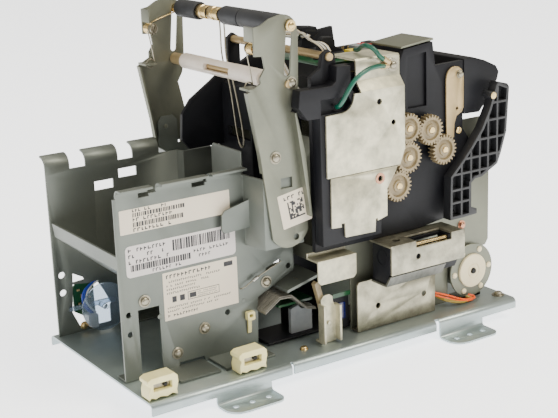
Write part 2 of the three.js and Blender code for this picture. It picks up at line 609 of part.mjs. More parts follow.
function topParts() {
  node("top_cover", join(
    plateXZ([[49, 172], [70.9, 174.5], [72.1, 174.6], [72.1, 173.3], [49, 170.8]], -48, -20),
    plateXZ([[70.9, 164], [72.1, 164], [72.1, 174.4], [70.9, 174.3]], -45.6, -20)), zinc);
  node("control_board", box(10, 46, -28, 24, 163.2, 164.8), boardGreen);
}

function headLockPlate() {
  const points = [
    [79.6, 116], [79.4, 150], ...arc(86, 150.6, 6.5, 180, 0, 8), [92.5, 132.6], [91, 130], [87.1, 128.2],
    [85.6, 124], [85.3, 116],
  ];
  const plate = plateXZ(points, -50.6, -49.4);
  const holes = [rodY(87.6, 132.6, -52, -48, 0.9, 10), rodY(89.3, 152.3, -52, -48, 1.6, 12)];
  node("head_lock_plate", cut(plate, ...holes), tanSteel);
}

function headHousing() {
  const points = [
    [94, 128], [94, 160.2], [101, 160.4], [110, 157.6], [119, 153.4], [121.3, 149.6], [120, 145.2],
    [112, 134], [106, 127.6],
  ];
  const inner = [
    [96, 120], [96, 158.2], [101, 158.4], [109.4, 155.8], [117.6, 152], [119, 149.6], [118, 146],
    [110.6, 135.2],
    [105, 129.4], [104, 120],
  ];
  const outer = plateXZ(points, FRAME_Y0, FAR_FRAME_Y1);
  const hollow = plateXZ(inner, FRAME_Y0 + 2, FAR_FRAME_Y1 - 2);
  node("head_housing", outer.subtract(hollow), blackPlastic);
}

function ribbedBracket() {
  const edge = [
    [76, 69.5], [87, 69.5], [96.3, 70], [96.3, 73], [92, 74.7], [92, 89.2], [95, 91.3], [100.2, 91.6],
    [112.2, 97.5],
    [115, 103.8], [119.1, 116], [120.8, 141.9], [119.2, 144], [112, 146], [110.6, 143.5], [106, 131],
    [100, 120],
    [92, 110.5], [84, 102], [76.5, 95],
  ];
  const y0 = -58;
  const y1 = FRAME_Y0 - GAP - 2.6;
  const web = 1.6;
  const hollow = [
    [77.8, 71.2], [90.4, 71.2], [90.4, 90], [94.4, 92.9], [99.7, 93.2], [110.9, 98.7], [113.5, 104.3],
    [117.5, 116.3], [119, 141.2], [112.6, 143.6], [107.4, 130.4], [101.4, 119.2], [93.2, 109.4],
    [85.2, 101], [77.8, 94.2],
  ];
  const upright = [84, 91.2, 97.8, 104.2, 111.2];
  const level = [78.5, 86, 95.2, 103.4, 113.2, 123.6, 133.4];
  const ribs = join(
    ...upright.map((x) => box(x, x + RIB, y0, y1, 68, 146)),
    ...level.map((z) => box(76, 121, y0, y1, z, z + RIB)));
  const pockets = plateXZ(hollow, y0 - 1, y1 - web).subtract(ribs).subtract(box(76, 121, y1 - web, y1,
    68, 146));
  let bracket = plateXZ(edge, y0, y1).subtract(pockets);
  bracket = bracket.subtract(rodY(81.5, 73.5, y0 - 1, y1 + 1, 1.1, 10));
  const pin = rodY(107.3, 138.7, y0 - 1.6, y1, 2.2, 16);
  const posts = [
    rodY(113, 110, y1 - 0.2, BACK_PLATE_Y - GAP, 2.6, 14), rodY(84, 82, y1 - 0.2, FRAME_Y0 - GAP, 2.6,
      14),
  ];
  node("ribbed_bracket", join(bracket, pin, ...posts), blackPlastic);
}

function backPlate() {
  const points = [
    [15.4, PLATE_TOP + GAP], [88, PLATE_TOP + GAP], [88, 42.5], [118, 42.5], [120.3, 46], [120.3, 123],
    [90, 123], [82, 136], [-8, 136], [-8, 60], [15.4, 60],
  ];
  let plate = plateXZ(points, BACK_PLATE_Y, BACK_PLATE_Y + SHEET);
  for (const spec of [GEARS[1], GEARS[2], GEARS[4]]) {
    plate = plate.subtract(rodY(spec.x, spec.z, BACK_PLATE_Y - 1, BACK_PLATE_Y + 3, 5, 16));
  }
  for (const spec of [GEARS[0], GEARS[3]]) {
    plate = plate.add(gearShaft(spec, BACK_PLATE_Y + SHEET));
  }
  node("near_mechanism_plate", plate, zinc);
}

function farPlate() {
  const points = [
    [-8, PLATE_TOP + GAP], [118, PLATE_TOP + GAP], [120.3, 15], [120.3, 105], [110, 123], [-8, 123],
  ];
  const y = FAR_FRAME_Y0 - 4;
  let plate = plateXZ(points, y, y + SHEET);
  for (const spec of GEARS.slice(1, 3)) {
    plate = plate.subtract(rodY(spec.x, spec.z, y - 1, y + 3, 4, 16));
  }
  plate = plate.subtract(box(10, 78, y - 1, y + 3, 30, 54));
  const near = BACK_PLATE_Y + SHEET + GAP;
  const channel = join(
    box(-6, 84, near, y + 0.1, 64, 65.2), box(-6, -4.8, near, y + 0.1, 56, 65.1), box(82.8, 84, near,
      y + 0.1, 56, 65.1));
  node("far_mechanism_plate", plate.add(channel), zinc);
}

// ---- pieces inside the mechanism ----------------------------------------------------------
function printHead() {
  const block = box(48.4, 56, -37, 37, 116, 136);
  const relief = box(54.6, 57, -38, 38, 128, 137);
  const fins = [-24, -8, 8, 24].map((y) => box(44.6, 48.6, y - 3, y + 3, 118, 130));
  node("print_head", join(block.subtract(relief), ...fins), zinc);
  const springs = [-16, 0, 16].map((y) => rodX(y, 122, 35.9, 44, 2.2, 10));
  node("head_spring_bar", join(box(34, 36, -37, 37, 112, 134), ...springs), steel);
}

function cutter() {
  node("fixed_blade", box(45, 54.4, -38, 38, 139.6, 141), steel);
  const edge = [[58.4, -37], [84, -37], [84, 37], [58.4, 37], [60.8, 0]];
  node("cutter_blade", plateXY(edge, 137.8, 139.2), steel);
}

function feedMotor() {
  const [motor] = GEARS.slice(-1);
  node("feed_motor", join(
    rodY(motor.x, motor.z, BACK_PLATE_Y + SHEET + GAP, -18, 13.2, 24),
    box(motor.x - 15, motor.x + 15, -39.8, -38.4, motor.z - 13, motor.z + 13)), zinc);
}

function topShaft() {
  node("top_shaft", rodY(TOP_SHAFT.x, TOP_SHAFT.z, -50.5, FAR_FRAME_Y1 + 1, TOP_SHAFT.r, 14), steel);
}

// ---- presenter, latch and stepper motor -----------------------------------------------------
function presenter() {
  const back = -46.4;
  let cover = join(
    box(25.8, 79, COVER_Y, back, 64.4, 65.6),
    box(26.4, 80, COVER_Y, COVER_Y + SHEET, 48.4, 65.5));
  cover = cut(cover, box(44, 70, COVER_Y - 1, -55, 61.5, 67), rodZ(36.2, -57.5, 63, 67, 2.6, 16),
    rodY(45.5, 56.2, COVER_Y - 1, COVER_Y + 2, 1.7, 14));
  node("presenter_cover", cover, zinc);
  let body = box(26.2, 77, COVER_Y + SHEET + GAP, LOWER_PLATE_Y - GAP, 42.6, 64.1);
  const undercut = plateYZ([[-70, 48.6], [-64, 48.6], [-60.4, 42], [-70, 42]], 20, 80);
  body = cut(body, box(45, 69, -70, -56, 60, 70), box(30, 74, -61, -47, 46, 62), undercut);
  node("presenter_body", body.add(rodX(-62, 62, 44.5, 69.5, 1.4, 12)), blackPlastic);
  // The strip below the cover leans inward and folds back to the mounting plate.
  const fold = [
    [COVER_Y, 47.8], [COVER_Y + SHEET, 47.8], [-61.2, 42.2], [LOWER_PLATE_Y + 1, 42.2],
    [LOWER_PLATE_Y + 1, 41], [-62, 41],
  ];
  const strip = plateYZ(fold, 25.5, 66);
  const mount = [
    [15.3, PLATE_TOP + GAP], [72.4, PLATE_TOP + GAP], [72.4, 42.2], [16.9, 42.2], [15.3, 40.6],
  ];
  let plate = plateXZ(mount, LOWER_PLATE_Y, LOWER_PLATE_Y + SHEET);
  plate = plate.add(box(15.3, 72.4, LOWER_PLATE_Y, -43, PLATE_TOP + GAP, PLATE_TOP + GAP + SHEET));
  plate = cut(plate, rodY(30, 25.4, -50, -46, 1.7, 14), rodY(63.9, 25.1, -50, -46, 1.7, 14));
  node("presenter_mount_plate", plate.add(strip), zinc);
}

function guideBracket() {
  const y = -54;
  const face = [[-15.2, 50.6], [-13.2, 48.6], [9, 48.6], [11, 50.6], [11, 62.4], [-15.2, 62.4]];
  node("guide_bracket", join(
    plateXZ(face, y, y + SHEET),
    box(-15.2, 11, y + 0.1, -42.6, 61.2, 62.4),
    box(-15.2, 11, -43.8, -42.6, 61.3, 64.8)), zinc);
}

function latch() {
  const y = -49.6;
  const web = [[-10.9, PLATE_TOP + GAP], [-1.1, PLATE_TOP + GAP], [-1.1, 33], [-2.8, 36], [-3, 39],
    [-5, 40.6],
    [-9, 40.4], [-10.9, 38]];
  let channel = join(
    plateXZ(web, y, y + SHEET),
    box(-12, -10.8, y - 4.4, y + SHEET, 13.6, 36),
    box(-1.2, 0, y - 4.4, y + SHEET, 13.6, 34.5),
    box(-10.9, -1.1, y, y + 6, PLATE_TOP + GAP, PLATE_TOP + GAP + SHEET));
  channel = channel.add(rodY(-6, 24, y - 1.2, y + 5.6, 1.2, 12));
  node("latch_channel", channel, zinc);
  const blade = [[-8, 21.6], [-4, 21.6], [-3.6, 26], [-7.4, 37], [-10.2, 47], [-12, 48.8], [-13.6, 47.4],
    [-10.4, 36], [-8.4, 26]];
  const lever = plateXZ(blade, y + SHEET + GAP, y + SHEET + GAP + 3.4);
  node("release_lever", lever.subtract(rodY(-6, 24, y, y + 8, 1.35, 12)), nylon);
}

function stepperMotor() {
  const { x, z, r, y } = MOTOR;
  let flange = join(rodY(x, z, y, y + SHEET, r, 36), rodY(x, z, y + SHEET - 0.1, y + 14.5, 12.4, 24));
  flange = flange.add(rodY(x, z, y - 1.5, y + 0.1, 10.4, 28)).subtract(rodY(x, z, y - 3, y + 12, 1.9,
    14));
  const foot = join(
    box(x - 8.4, x + 8.4, y + 1.3, y + 2.5, PLATE_TOP + GAP, 22),
    box(x - 8.4, x + 8.4, y + 1.3, y + 11, PLATE_TOP + GAP, PLATE_TOP + GAP + SHEET),
    box(x - 8.4, x + 8.4, y + 0.9, y + 2, 14.6, 20));
  node("stepper_motor", flange.add(foot), zinc);
  node("motor_shaft", rodY(x, z, y - 2.4, y + 11, 1.7, 14), steel);
}

// ---- wires that the object holds along their whole length -----------------------------------
function wires() {
  const terminalY = -55.2;
  node("ground_wire_long", wire([
    [31, terminalY, 164.4], [24.8, -58.2, 165.4], [15.6, -60.4, 164.8], [7.6, -60.8, 160.8],
    [2.8, -60.4, 155.4], [0.4, -59.2, 150.6], [-0.6, -56.8, 147.4], [-0.8, -54.6, 146.4],
  ], 1.3, 20), greenWire);
  node("ground_wire_short", wire([
    [31.5, terminalY, 167.4], [27.4, -56, 170.4], [25, -54.8, 174], [23, -51.4, 176],
    [23.4, -47.4, 175.6], [25, -43, 174.2], [26, -39, 172.2], [26.6, -35.4, 171.7],
  ], 1.3, 18), greenWire);
  node("motor_leads", join(wire([
    [77, -43.2, 21], [84, -46.8, 18.6], [93, -49.8, 15], [99.5, -50, 14], [103.4, -48.6, 14],
    [100.6, -46.1, 15.4],
  ], 0.7, 20, 6), wire([
    [77, -43.8, 20], [83, -47.8, 16.8], [91, -50.6, 13.9], [97.6, -51, 13.7], [101.4, -49.4, 13.8],
    [100.2, -46.6, 15.2],
  ], 0.7, 20, 6)), orangeWire);
  node("head_harness", wire([
    [30.5, 16, 171], [14, 10, 177], [0, 2, 178], [-9, -12, 172], [-10.6, -24, 161], [-8, -30, 151.5],
  ], 2, 22, 8), creamWire);
}

basePlate();
nearWall();
farWall();
rearWall();
paperCradle();
lowPaperSensor();
cableClip("cable_clip_1", -115.9);
cableClip("cable_clip_2", -61.5);
arm("arm_near", ARM_NEAR_Y, -1, 4);
arm("arm_far", ARM_FAR_Y, 1, 2.6);
tensionBar();
tensionRollers();
guideShaftAndTube();
wireGuide();
tensionSpring("near", ARM_NEAR_Y + SHEET, 1);
tensionSpring("far", ARM_FAR_Y - SHEET, -1);
gearTrain();
driveRollers();
nearFrame();
farFrame();
paperThroat();
nearCover();
shieldUpper();
shieldLower();
topParts();
headLockPlate();
headHousing();
ribbedBracket();
backPlate();
farPlate();
printHead();
cutter();
feedMotor();
topShaft();
presenter();
guideBracket();
latch();
stepperMotor();
wires();

export default printer;
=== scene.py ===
"""Looks of an open-frame receipt printer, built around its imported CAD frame.

Sizes and places are in millimetres until they reach Blender, which works in metres.
"""
import json
import math
import random

import bmesh
import bpy
from mathutils import Matrix, Vector


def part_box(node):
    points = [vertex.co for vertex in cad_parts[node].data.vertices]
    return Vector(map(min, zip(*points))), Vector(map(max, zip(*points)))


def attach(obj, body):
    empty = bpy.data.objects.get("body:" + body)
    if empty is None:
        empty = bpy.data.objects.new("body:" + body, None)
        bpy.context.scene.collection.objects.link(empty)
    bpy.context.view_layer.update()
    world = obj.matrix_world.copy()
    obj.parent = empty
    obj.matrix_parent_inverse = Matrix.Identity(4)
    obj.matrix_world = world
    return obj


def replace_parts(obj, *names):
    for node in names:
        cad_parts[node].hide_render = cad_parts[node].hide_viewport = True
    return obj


MM = 0.001

# Places that the CAD part fixes, in millimetres.
NEAR_WALL_Y = -29.2
FAR_WALL_Y = 55.8
ARM_NEAR_Y = -47.7
ARM_FAR_Y = 74.3
SHEET = 1.2
PLATE_TOP = 12.0
BAR = (-24.5, 191.5)
BAR_R = 1.7
GUIDE = (-26.6, 161.2)
GUIDE_R = 2.0
SPRING = (-44.0, 181.0)
SHIELD_Y = -58.0
GEAR_FRONT = -56.4
GEAR_BACK = -51.8
MODULE = 0.7
PIN_R = 1.9
MOTOR = (104.4, 29.8)
MOTOR_Y = -45.0
MOTOR_R = 16.6
TOP_SHAFT = (-1.2, 172.6)
TOP_SHAFT_R = 2.2

# Sizes that repeat in the visual shapes, in millimetres.
COIL_R = 2.85
COIL_WIRE_R = 0.38
TAIL_WIRE_R = 0.36
COIL_PITCH = 0.72
COIL_TURNS = 7
COIL_STEPS = 16
COIL_START_DEG = 70
ROLLER_FIT = 0.15
PAPER_DEPTH = 0.12
INK_FRONT = 0.16
INK_BACK = 0.1

# The fitted camera, and the floor it stands before.
CAMERA_TURN_DEG = (-33.207, 15.865, -2.117)
CAMERA_PLACE = (-388.95, -588.33, 278.63)
CAMERA_LENS = 81.49
CAMERA_SENSOR = 36
CAMERA_CLIP_M = 0.01
FLOOR_HALF_M = 4
FLOOR_DROP_M = 0.0004
FLOOR_GLOW = 2.1

# Mesh clean-up: distances in millimetres, or metres on the frame's own mesh, and angles in degrees.
WELD_MM = 1e-4
WELD_M = 1e-6
FLAT_DEG = 1
BEVEL_FROM_DEG = 32
BUMP_DEPTH_M = 0.0003

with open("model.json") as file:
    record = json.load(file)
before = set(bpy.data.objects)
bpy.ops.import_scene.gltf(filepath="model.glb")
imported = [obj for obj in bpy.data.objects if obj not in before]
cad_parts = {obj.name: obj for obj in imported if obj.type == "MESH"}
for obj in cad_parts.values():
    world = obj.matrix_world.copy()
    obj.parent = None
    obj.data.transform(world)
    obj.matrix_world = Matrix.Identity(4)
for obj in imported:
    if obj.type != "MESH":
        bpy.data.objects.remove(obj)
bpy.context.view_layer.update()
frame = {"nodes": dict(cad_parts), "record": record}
BODY_OF = {
    node: body
    for body, nodes in frame["record"]["behaviour"]["bodies"].items()
    for node in nodes
}


# ---- shapes ----
def into_scene(thing):
    bpy.context.scene.collection.objects.link(thing)


def add_piece(name, shape, material, body="frame", bevel=0.0, segments=2, smooth=40):
    """Turns a bmesh in millimetres into an object that rides on a body."""
    bmesh.ops.remove_doubles(shape, verts=shape.verts, dist=WELD_MM)
    bmesh.ops.recalc_face_normals(shape, faces=shape.faces)
    bmesh.ops.scale(shape, vec=(MM, MM, MM), verts=shape.verts)
    mesh = bpy.data.meshes.new(name)
    shape.to_mesh(mesh)
    shape.free()
    return place_mesh(name, mesh, material, body, bevel, segments, smooth)


def place_mesh(name, mesh, material, body="frame", bevel=0.0, segments=2, smooth=40):
    """Makes a mesh in metres a smooth-shaded piece, with rounded edges where bevel is given."""
    for polygon in mesh.polygons:
        polygon.use_smooth = True
    if not bevel:
        mesh.set_sharp_from_angle(angle=math.radians(smooth))
    if not mesh.materials:
        mesh.materials.append(material)
    piece = bpy.data.objects.new(name, mesh)
    into_scene(piece)
    if bevel:
        rounding = piece.modifiers.new("rounding", "BEVEL")
        rounding.width = bevel * MM
        rounding.segments = segments
        rounding.limit_method = "ANGLE"
        rounding.angle_limit = math.radians(BEVEL_FROM_DEG)
        rounding.harden_normals = True
    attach(piece, body)
    return piece


def refined(node, material, bevel=0.25, segments=2):
    """The CAD node's own shape with clean faces and rounded edges."""
    shape = bmesh.new()
    shape.from_mesh(frame["nodes"][node].data)
    bmesh.ops.remove_doubles(shape, verts=shape.verts, dist=WELD_M)
    bmesh.ops.dissolve_limit(shape, angle_limit=math.radians(FLAT_DEG), verts=shape.verts,
                             edges=shape.edges)
    bmesh.ops.scale(shape, vec=(1 / MM, 1 / MM, 1 / MM), verts=shape.verts)
    piece = add_piece(node + "_fine", shape, material, BODY_OF[node], bevel, segments)
    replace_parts(piece, node)
    return piece


def paint(piece, material, chosen):
    """Gives the faces whose middle is chosen (in millimetres) a second material."""
    piece.data.materials.append(material)
    for polygon in piece.data.polygons:
        if chosen(polygon.center / MM):
            polygon.material_index = len(piece.data.materials) - 1


def lay(axis, p, q, h):
    """Puts a point of an outline (p, q) at height h along an axis."""
    return {"X": (h, p, q), "Y": (p, h, q), "Z": (p, q, h)}[axis]


def prism(points, low, high, axis="Y", shape=None):
    """An outline given a thickness along an axis. Outlines are in X and Z, Y and Z, or X and Y."""
    shape = shape or bmesh.new()
    rings = []
    for h in (low, high):
        rings.append([shape.verts.new(lay(axis, p, q, h)) for p, q in points])
    for ring in rings:
        shape.faces.new(ring)
    count = len(points)
    for i in range(count):
        j = (i + 1) % count
        shape.faces.new((rings[0][i], rings[0][j], rings[1][j], rings[1][i]))
    return shape


def block(x0, x1, y0, y1, z0, z1, shape=None):
    """A box between two places on each axis."""
    return prism([(x0, y0), (x1, y0), (x1, y1), (x0, y1)], z0, z1, "Z", shape)


def rounded(x0, x1, z0, z1, radius, steps=5):
    """Outline of a rectangle with round corners."""
    points = []
    corners = ((x1 - radius, z1 - radius, 0), (x0 + radius, z1 - radius, 90),
               (x0 + radius, z0 + radius, 180), (x1 - radius, z0 + radius, 270))
    for cx, cz, start in corners:
        for i in range(steps + 1):
            angle = math.radians(start + 90 * i / steps)
            points.append((cx + radius * math.cos(angle), cz + radius * math.sin(angle)))
    return points


def turned(profile, centre, axis="Y", sides=48, shape=None):
    """A closed profile of (radius, height) turned about a line through centre along an axis."""
    shape = shape or bmesh.new()
    p, q = centre
    rings = []
    for radius, height in profile:
        if radius < 1e-6:
            rings.append([shape.verts.new(lay(axis, p, q, height))])
            continue
        ring = []
        for i in range(sides):
            angle = 2 * math.pi * i / sides
            ring.append(shape.verts.new(
                lay(axis, p + radius * math.cos(angle), q + radius * math.sin(angle), height)))
        rings.append(ring)
    closed = len(rings[0]) > 1
    pairs = list(zip(rings, rings[1:] + ([rings[0]] if closed else [])))
    for a, b in pairs:
        for i in range(sides):
            j = (i + 1) % sides
            corners = [a[i % len(a)], a[j % len(a)], b[j % len(b)], b[i % len(b)]]
            unique = list(dict.fromkeys(corners))
            if len(unique) > 2:
                shape.faces.new(unique)
    return shape


def rod(radius, low, high, chamfer=0.2):
    """Profile of a plain round rod with chamfered ends."""
    return [(0, low), (radius - chamfer, low), (radius, low + chamfer), (radius, high - chamfer),
            (radius - chamfer, high), (0, high)]


def ring(inner, outer, low, high, chamfer=0.2):
    """Profile of a sleeve with chamfered ends."""
    return [(inner, low), (outer - chamfer, low), (outer, low + chamfer), (outer, high - chamfer),
            (outer - chamfer, high), (inner, high)]


def wire(name, points, radius, material, body="frame", straight=False):
    """A round wire through points, as a curve."""
    curve = bpy.data.curves.new(name, "CURVE")
    curve.dimensions = "3D"
    curve.bevel_depth = radius * MM
    curve.bevel_resolution = 3
    curve.use_fill_caps = True
    curve.resolution_u = 8
    if straight:
        spline = curve.splines.new("POLY")
        spline.points.add(len(points) - 1)
        for knot, point in zip(spline.points, points):
            knot.co = (*(Vector(point) * MM), 1)
    else:
        spline = curve.splines.new("BEZIER")
        spline.bezier_points.add(len(points) - 1)
        for knot, point in zip(spline.bezier_points, points):
            knot.co = Vector(point) * MM
            knot.handle_left_type = "AUTO"
            knot.handle_right_type = "AUTO"
    curve.materials.append(material)
    piece = bpy.data.objects.new(name, curve)
    into_scene(piece)
    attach(piece, body)
    return piece


def aimed(place, direction, turn=0):
    """Moves a shape made along Z to a place, to point along a direction."""
    facing = Vector(direction).to_track_quat("Z", "Y").to_matrix().to_4x4()
    return Matrix.Translation(place) @ facing @ Matrix.Rotation(math.radians(turn), 4, "Z")


def carve(solid, tool):
    """A bmesh with another one cut out of it."""
    holders = []
    for name, shape in (("solid", solid), ("tool", tool)):
        bmesh.ops.recalc_face_normals(shape, faces=shape.faces)
        mesh = bpy.data.meshes.new(name)
        shape.to_mesh(mesh)
        shape.free()
        holder = bpy.data.objects.new(name, mesh)
        into_scene(holder)
        holders.append(holder)
    cutting = holders[0].modifiers.new("cut", "BOOLEAN")
    cutting.operation = "DIFFERENCE"
    cutting.solver = "EXACT"
    cutting.object = holders[1]
    bpy.context.view_layer.update()
    result = bmesh.new()
    result.from_mesh(holders[0].evaluated_get(bpy.context.evaluated_depsgraph_get()).to_mesh())
    for holder in holders:
        mesh = holder.data
        bpy.data.objects.remove(holder)
        bpy.data.meshes.remove(mesh)
    return result


# ---- materials ----
def surface(name, light, dark, rough, metallic=0.0, cloud=45, cloud_bias=0.5, grain=1400, bump=0.04,
            stretch=(1, 1, 1), coat=0.0, gloss=0.5, grime_and_shade=None):
    """A procedural finish: a cloudy change of tone, a fine grain in roughness and height and,
    where grime_and_shade gives a height where it is darkest and one where it ends, a ragged dark band of dirt
    and painted shade."""
    material = bpy.data.materials.new(name)
    material.use_nodes = True
    nodes = material.node_tree.nodes
    links = material.node_tree.links
    shader = nodes["Principled BSDF"]

    def node(kind, **values):
        """A new node with some inputs set. An underscore stands for a space in an input's name."""
        made = nodes.new("ShaderNode" + kind)
        for label, value in values.items():
            made.inputs[label.replace("_", " ")].default_value = value
        return made

    place = node("TexCoord")
    turn = node("Mapping", Scale=stretch)
    links.new(place.outputs["Object"], turn.inputs["Vector"])

    def noise(scale, detail, roughness):
        texture = node("TexNoise", Scale=scale, Detail=detail, Roughness=roughness)
        links.new(turn.outputs["Vector"], texture.inputs["Vector"])
        return texture.outputs["Fac"]

    tone = node("ValToRGB")
    stops = tone.color_ramp.elements
    stops[0].position, stops[0].color = cloud_bias - 0.2, (*dark, 1)
    stops[1].position, stops[1].color = cloud_bias + 0.2, (*light, 1)
    links.new(noise(cloud, 5, 0.62), tone.inputs["Fac"])
    colour = tone.outputs["Color"]
    # Dirt and painted shade: a ragged dark band that fades over a height range, standing for shade at an edge
    # or crease as well as for grime.
    if grime_and_shade:
        parts = node("SeparateXYZ")
        links.new(place.outputs["Object"], parts.inputs["Vector"])
        thick, end = (height * MM for height in grime_and_shade)
        depth = node("MapRange", From_Min=thick, From_Max=end, To_Min=1.15, To_Max=0.2)
        links.new(parts.outputs["Z"], depth.inputs["Value"])
        ragged = node("Math")
        ragged.operation = "MULTIPLY"
        ragged.use_clamp = True
        links.new(depth.outputs["Result"], ragged.inputs[0])
        links.new(noise(260, 4, 0.7), ragged.inputs[1])
        stain_and_shade = node("Mix")
        stain_and_shade.data_type = "RGBA"
        links.new(ragged.outputs["Value"], stain_and_shade.inputs["Factor"])
        links.new(colour, stain_and_shade.inputs["A"])
        stain_and_shade.inputs["B"].default_value = (0.03, 0.025, 0.015, 1)
        colour = stain_and_shade.outputs["Result"]
    links.new(colour, shader.inputs["Base Color"])
    fine = noise(grain, 3, 0.55)
    spread = node("MapRange", To_Min=rough[0], To_Max=rough[1])
    links.new(fine, spread.inputs["Value"])
    links.new(spread.outputs["Result"], shader.inputs["Roughness"])
    relief = node("Bump", Strength=bump, Distance=BUMP_DEPTH_M)
    links.new(fine, relief.inputs["Height"])
    links.new(relief.outputs["Normal"], shader.inputs["Normal"])
    shader.inputs["Metallic"].default_value = metallic
    shader.inputs["Coat Weight"].default_value = coat
    shader.inputs["Specular IOR Level"].default_value = gloss
    return material


def clear_plastic(name, tint):
    """A tinted clear sheet that light passes through almost unbent."""
    material = surface(name, tint, [c * 0.85 for c in tint], (0.06, 0.14), cloud=30, bump=0.01)
    shader = material.node_tree.nodes["Principled BSDF"]
    shader.inputs["Transmission Weight"].default_value = 0.85
    shader.inputs["IOR"].default_value = 1.2
    return material


ZINC = surface("zinc", (0.70, 0.66, 0.49), (0.33, 0.32, 0.24), (0.34, 0.52), 0.65, cloud=110,
               cloud_bias=0.44)
# The cover darkens towards its top edges at 66 mm: dirt and painted shade.
COVER_ZINC = surface("cover_zinc", (0.54, 0.51, 0.39), (0.24, 0.235, 0.18), (0.32, 0.5), 0.7, cloud=110,
                     cloud_bias=0.46, grime_and_shade=(66, 60))
# The mount plate darkens towards its foot on the base plate: painted shade in the crease, with dirt.
MOUNT_ZINC = surface("mount_zinc", (0.62, 0.58, 0.43), (0.31, 0.295, 0.22), (0.32, 0.5), 0.65, cloud=110,
                     cloud_bias=0.45, grime_and_shade=(12.5, 19))
# A darker zinc for the downward-facing strip below the presenter cover: painted shade.
STRIP_PAINTED_SHADE = surface("strip_painted_shade", (0.17, 0.17, 0.15), (0.08, 0.08, 0.07), (0.3, 0.45), 0.6, cloud=160,
                     cloud_bias=0.46, stretch=(2.2, 1, 1))
ARM_ZINC = surface("arm_zinc", (0.22, 0.225, 0.175), (0.165, 0.172, 0.135), (0.36, 0.48), 0.6, cloud=30)
WALL_ZINC = surface("wall_zinc", (0.19, 0.205, 0.18), (0.135, 0.152, 0.14), (0.38, 0.5), 0.6, cloud=18)
PLATE_ZINC = surface("plate_zinc", (0.44, 0.50, 0.49), (0.31, 0.37, 0.385), (0.3, 0.44), 0.75, cloud=22)
BLACK = surface("black_plastic", (0.008, 0.0085, 0.012), (0.0035, 0.0036, 0.0055), (0.42, 0.58), cloud=40,
                grain=2600, bump=0.08, gloss=0.28)
SATIN_BLACK = surface("satin_black", (0.022, 0.023, 0.026), (0.012, 0.0125, 0.015), (0.38, 0.5), cloud=60,
                      grain=2600, bump=0.08, gloss=0.5)
RUBBER = surface("rubber", (0.028, 0.030, 0.036), (0.016, 0.017, 0.02), (0.5, 0.62), cloud=120,
                 grain=3000, bump=0.1)
NYLON = surface("nylon", (0.33, 0.26, 0.15), (0.20, 0.155, 0.085), (0.38, 0.5), cloud=160, bump=0.03)
TUBE_NYLON = surface("tube_nylon", (0.86, 0.78, 0.70), (0.75, 0.66, 0.57), (0.4, 0.52), cloud=90, bump=0.03)
CREAM_NYLON = surface("cream_nylon", (0.95, 0.88, 0.46), (0.84, 0.75, 0.34), (0.35, 0.48), cloud=120,
                      bump=0.03)
BRASS = surface("brass", (0.78, 0.60, 0.30), (0.60, 0.43, 0.19), (0.2, 0.34), 1.0, cloud=300, bump=0.03)
COPPER = surface("copper", (0.62, 0.33, 0.22), (0.45, 0.22, 0.14), (0.3, 0.42), 1.0, cloud=300, bump=0.03)
STEEL = surface("steel", (0.66, 0.65, 0.6), (0.48, 0.47, 0.43), (0.18, 0.32), 1.0, cloud=200, bump=0.02)
DULL_STEEL = surface("dull_steel", (0.40, 0.37, 0.29), (0.24, 0.22, 0.17), (0.3, 0.45), 1.0, cloud=400,
                     bump=0.03)
TAN_STEEL = surface("tan_steel", (0.54, 0.40, 0.21), (0.40, 0.30, 0.15), (0.36, 0.48), 0.55, cloud=60)
# Near-black for dark parts, and painted shade where it lines recesses and slots.
DARK_AND_PAINTED_SHADE = surface("dark_and_painted_shade", (0.012, 0.012, 0.012), (0.006, 0.006, 0.006), (0.6, 0.8), cloud=200)
BOARD = surface("board_green", (0.01, 0.09, 0.03), (0.005, 0.05, 0.018), (0.25, 0.4), cloud=250, coat=0.3)
GREEN = surface("green_insulation", (0.0, 0.10, 0.06), (0.0, 0.06, 0.036), (0.3, 0.42), cloud=120, coat=0.2)
ORANGE = surface("orange_insulation", (0.95, 0.12, 0.0), (0.75, 0.08, 0.0), (0.3, 0.42), cloud=120)
BROWN = surface("brown_insulation", (0.40, 0.27, 0.03), (0.28, 0.18, 0.02), (0.3, 0.42), cloud=120)
CREAM_WIRE = surface("cream_insulation", (0.62, 0.54, 0.40), (0.45, 0.38, 0.27), (0.4, 0.52), cloud=150)
WHITE_WIRE = surface("white_insulation", (0.80, 0.80, 0.78), (0.6, 0.6, 0.58), (0.35, 0.45), cloud=150)
BLUE_WIRE = surface("blue_insulation", (0.02, 0.06, 0.45), (0.01, 0.04, 0.3), (0.35, 0.45), cloud=150)
PAPER = surface("label_paper", (0.80, 0.71, 0.57), (0.74, 0.65, 0.52), (0.5, 0.6), cloud=30, bump=0.02)
LILAC_PAPER = surface("label_lilac", (0.70, 0.65, 0.63), (0.64, 0.59, 0.58), (0.42, 0.52), cloud=30,
                      bump=0.02)
INK = surface("label_ink", (0.03, 0.03, 0.035), (0.015, 0.015, 0.02), (0.5, 0.6), cloud=200)
GREY_PLASTIC = surface("grey_plastic", (0.30, 0.32, 0.34), (0.22, 0.235, 0.25), (0.4, 0.52), cloud=100)
RIBBON = surface("ribbon_cable", (0.20, 0.19, 0.16), (0.13, 0.125, 0.105), (0.45, 0.6), cloud=90)
LENS = surface("lens", (0.01, 0.015, 0.12), (0.006, 0.008, 0.06), (0.04, 0.08), cloud=60, coat=0.6)
FACE_NYLON = surface("motor_face", (0.90, 0.79, 0.52), (0.8, 0.69, 0.44), (0.4, 0.5), cloud=80)
YELLOW = surface("yellow_plastic", (0.85, 0.62, 0.02), (0.7, 0.5, 0.02), (0.35, 0.5), cloud=100)
RED = surface("red_plastic", (0.6, 0.02, 0.02), (0.45, 0.01, 0.01), (0.35, 0.5), cloud=100)
STICKER = surface("green_sticker", (0.02, 0.62, 0.08), (0.015, 0.5, 0.06), (0.4, 0.5), cloud=60)
CLEAR_BLUE = clear_plastic("clear_blue", (0.55, 0.66, 0.80))


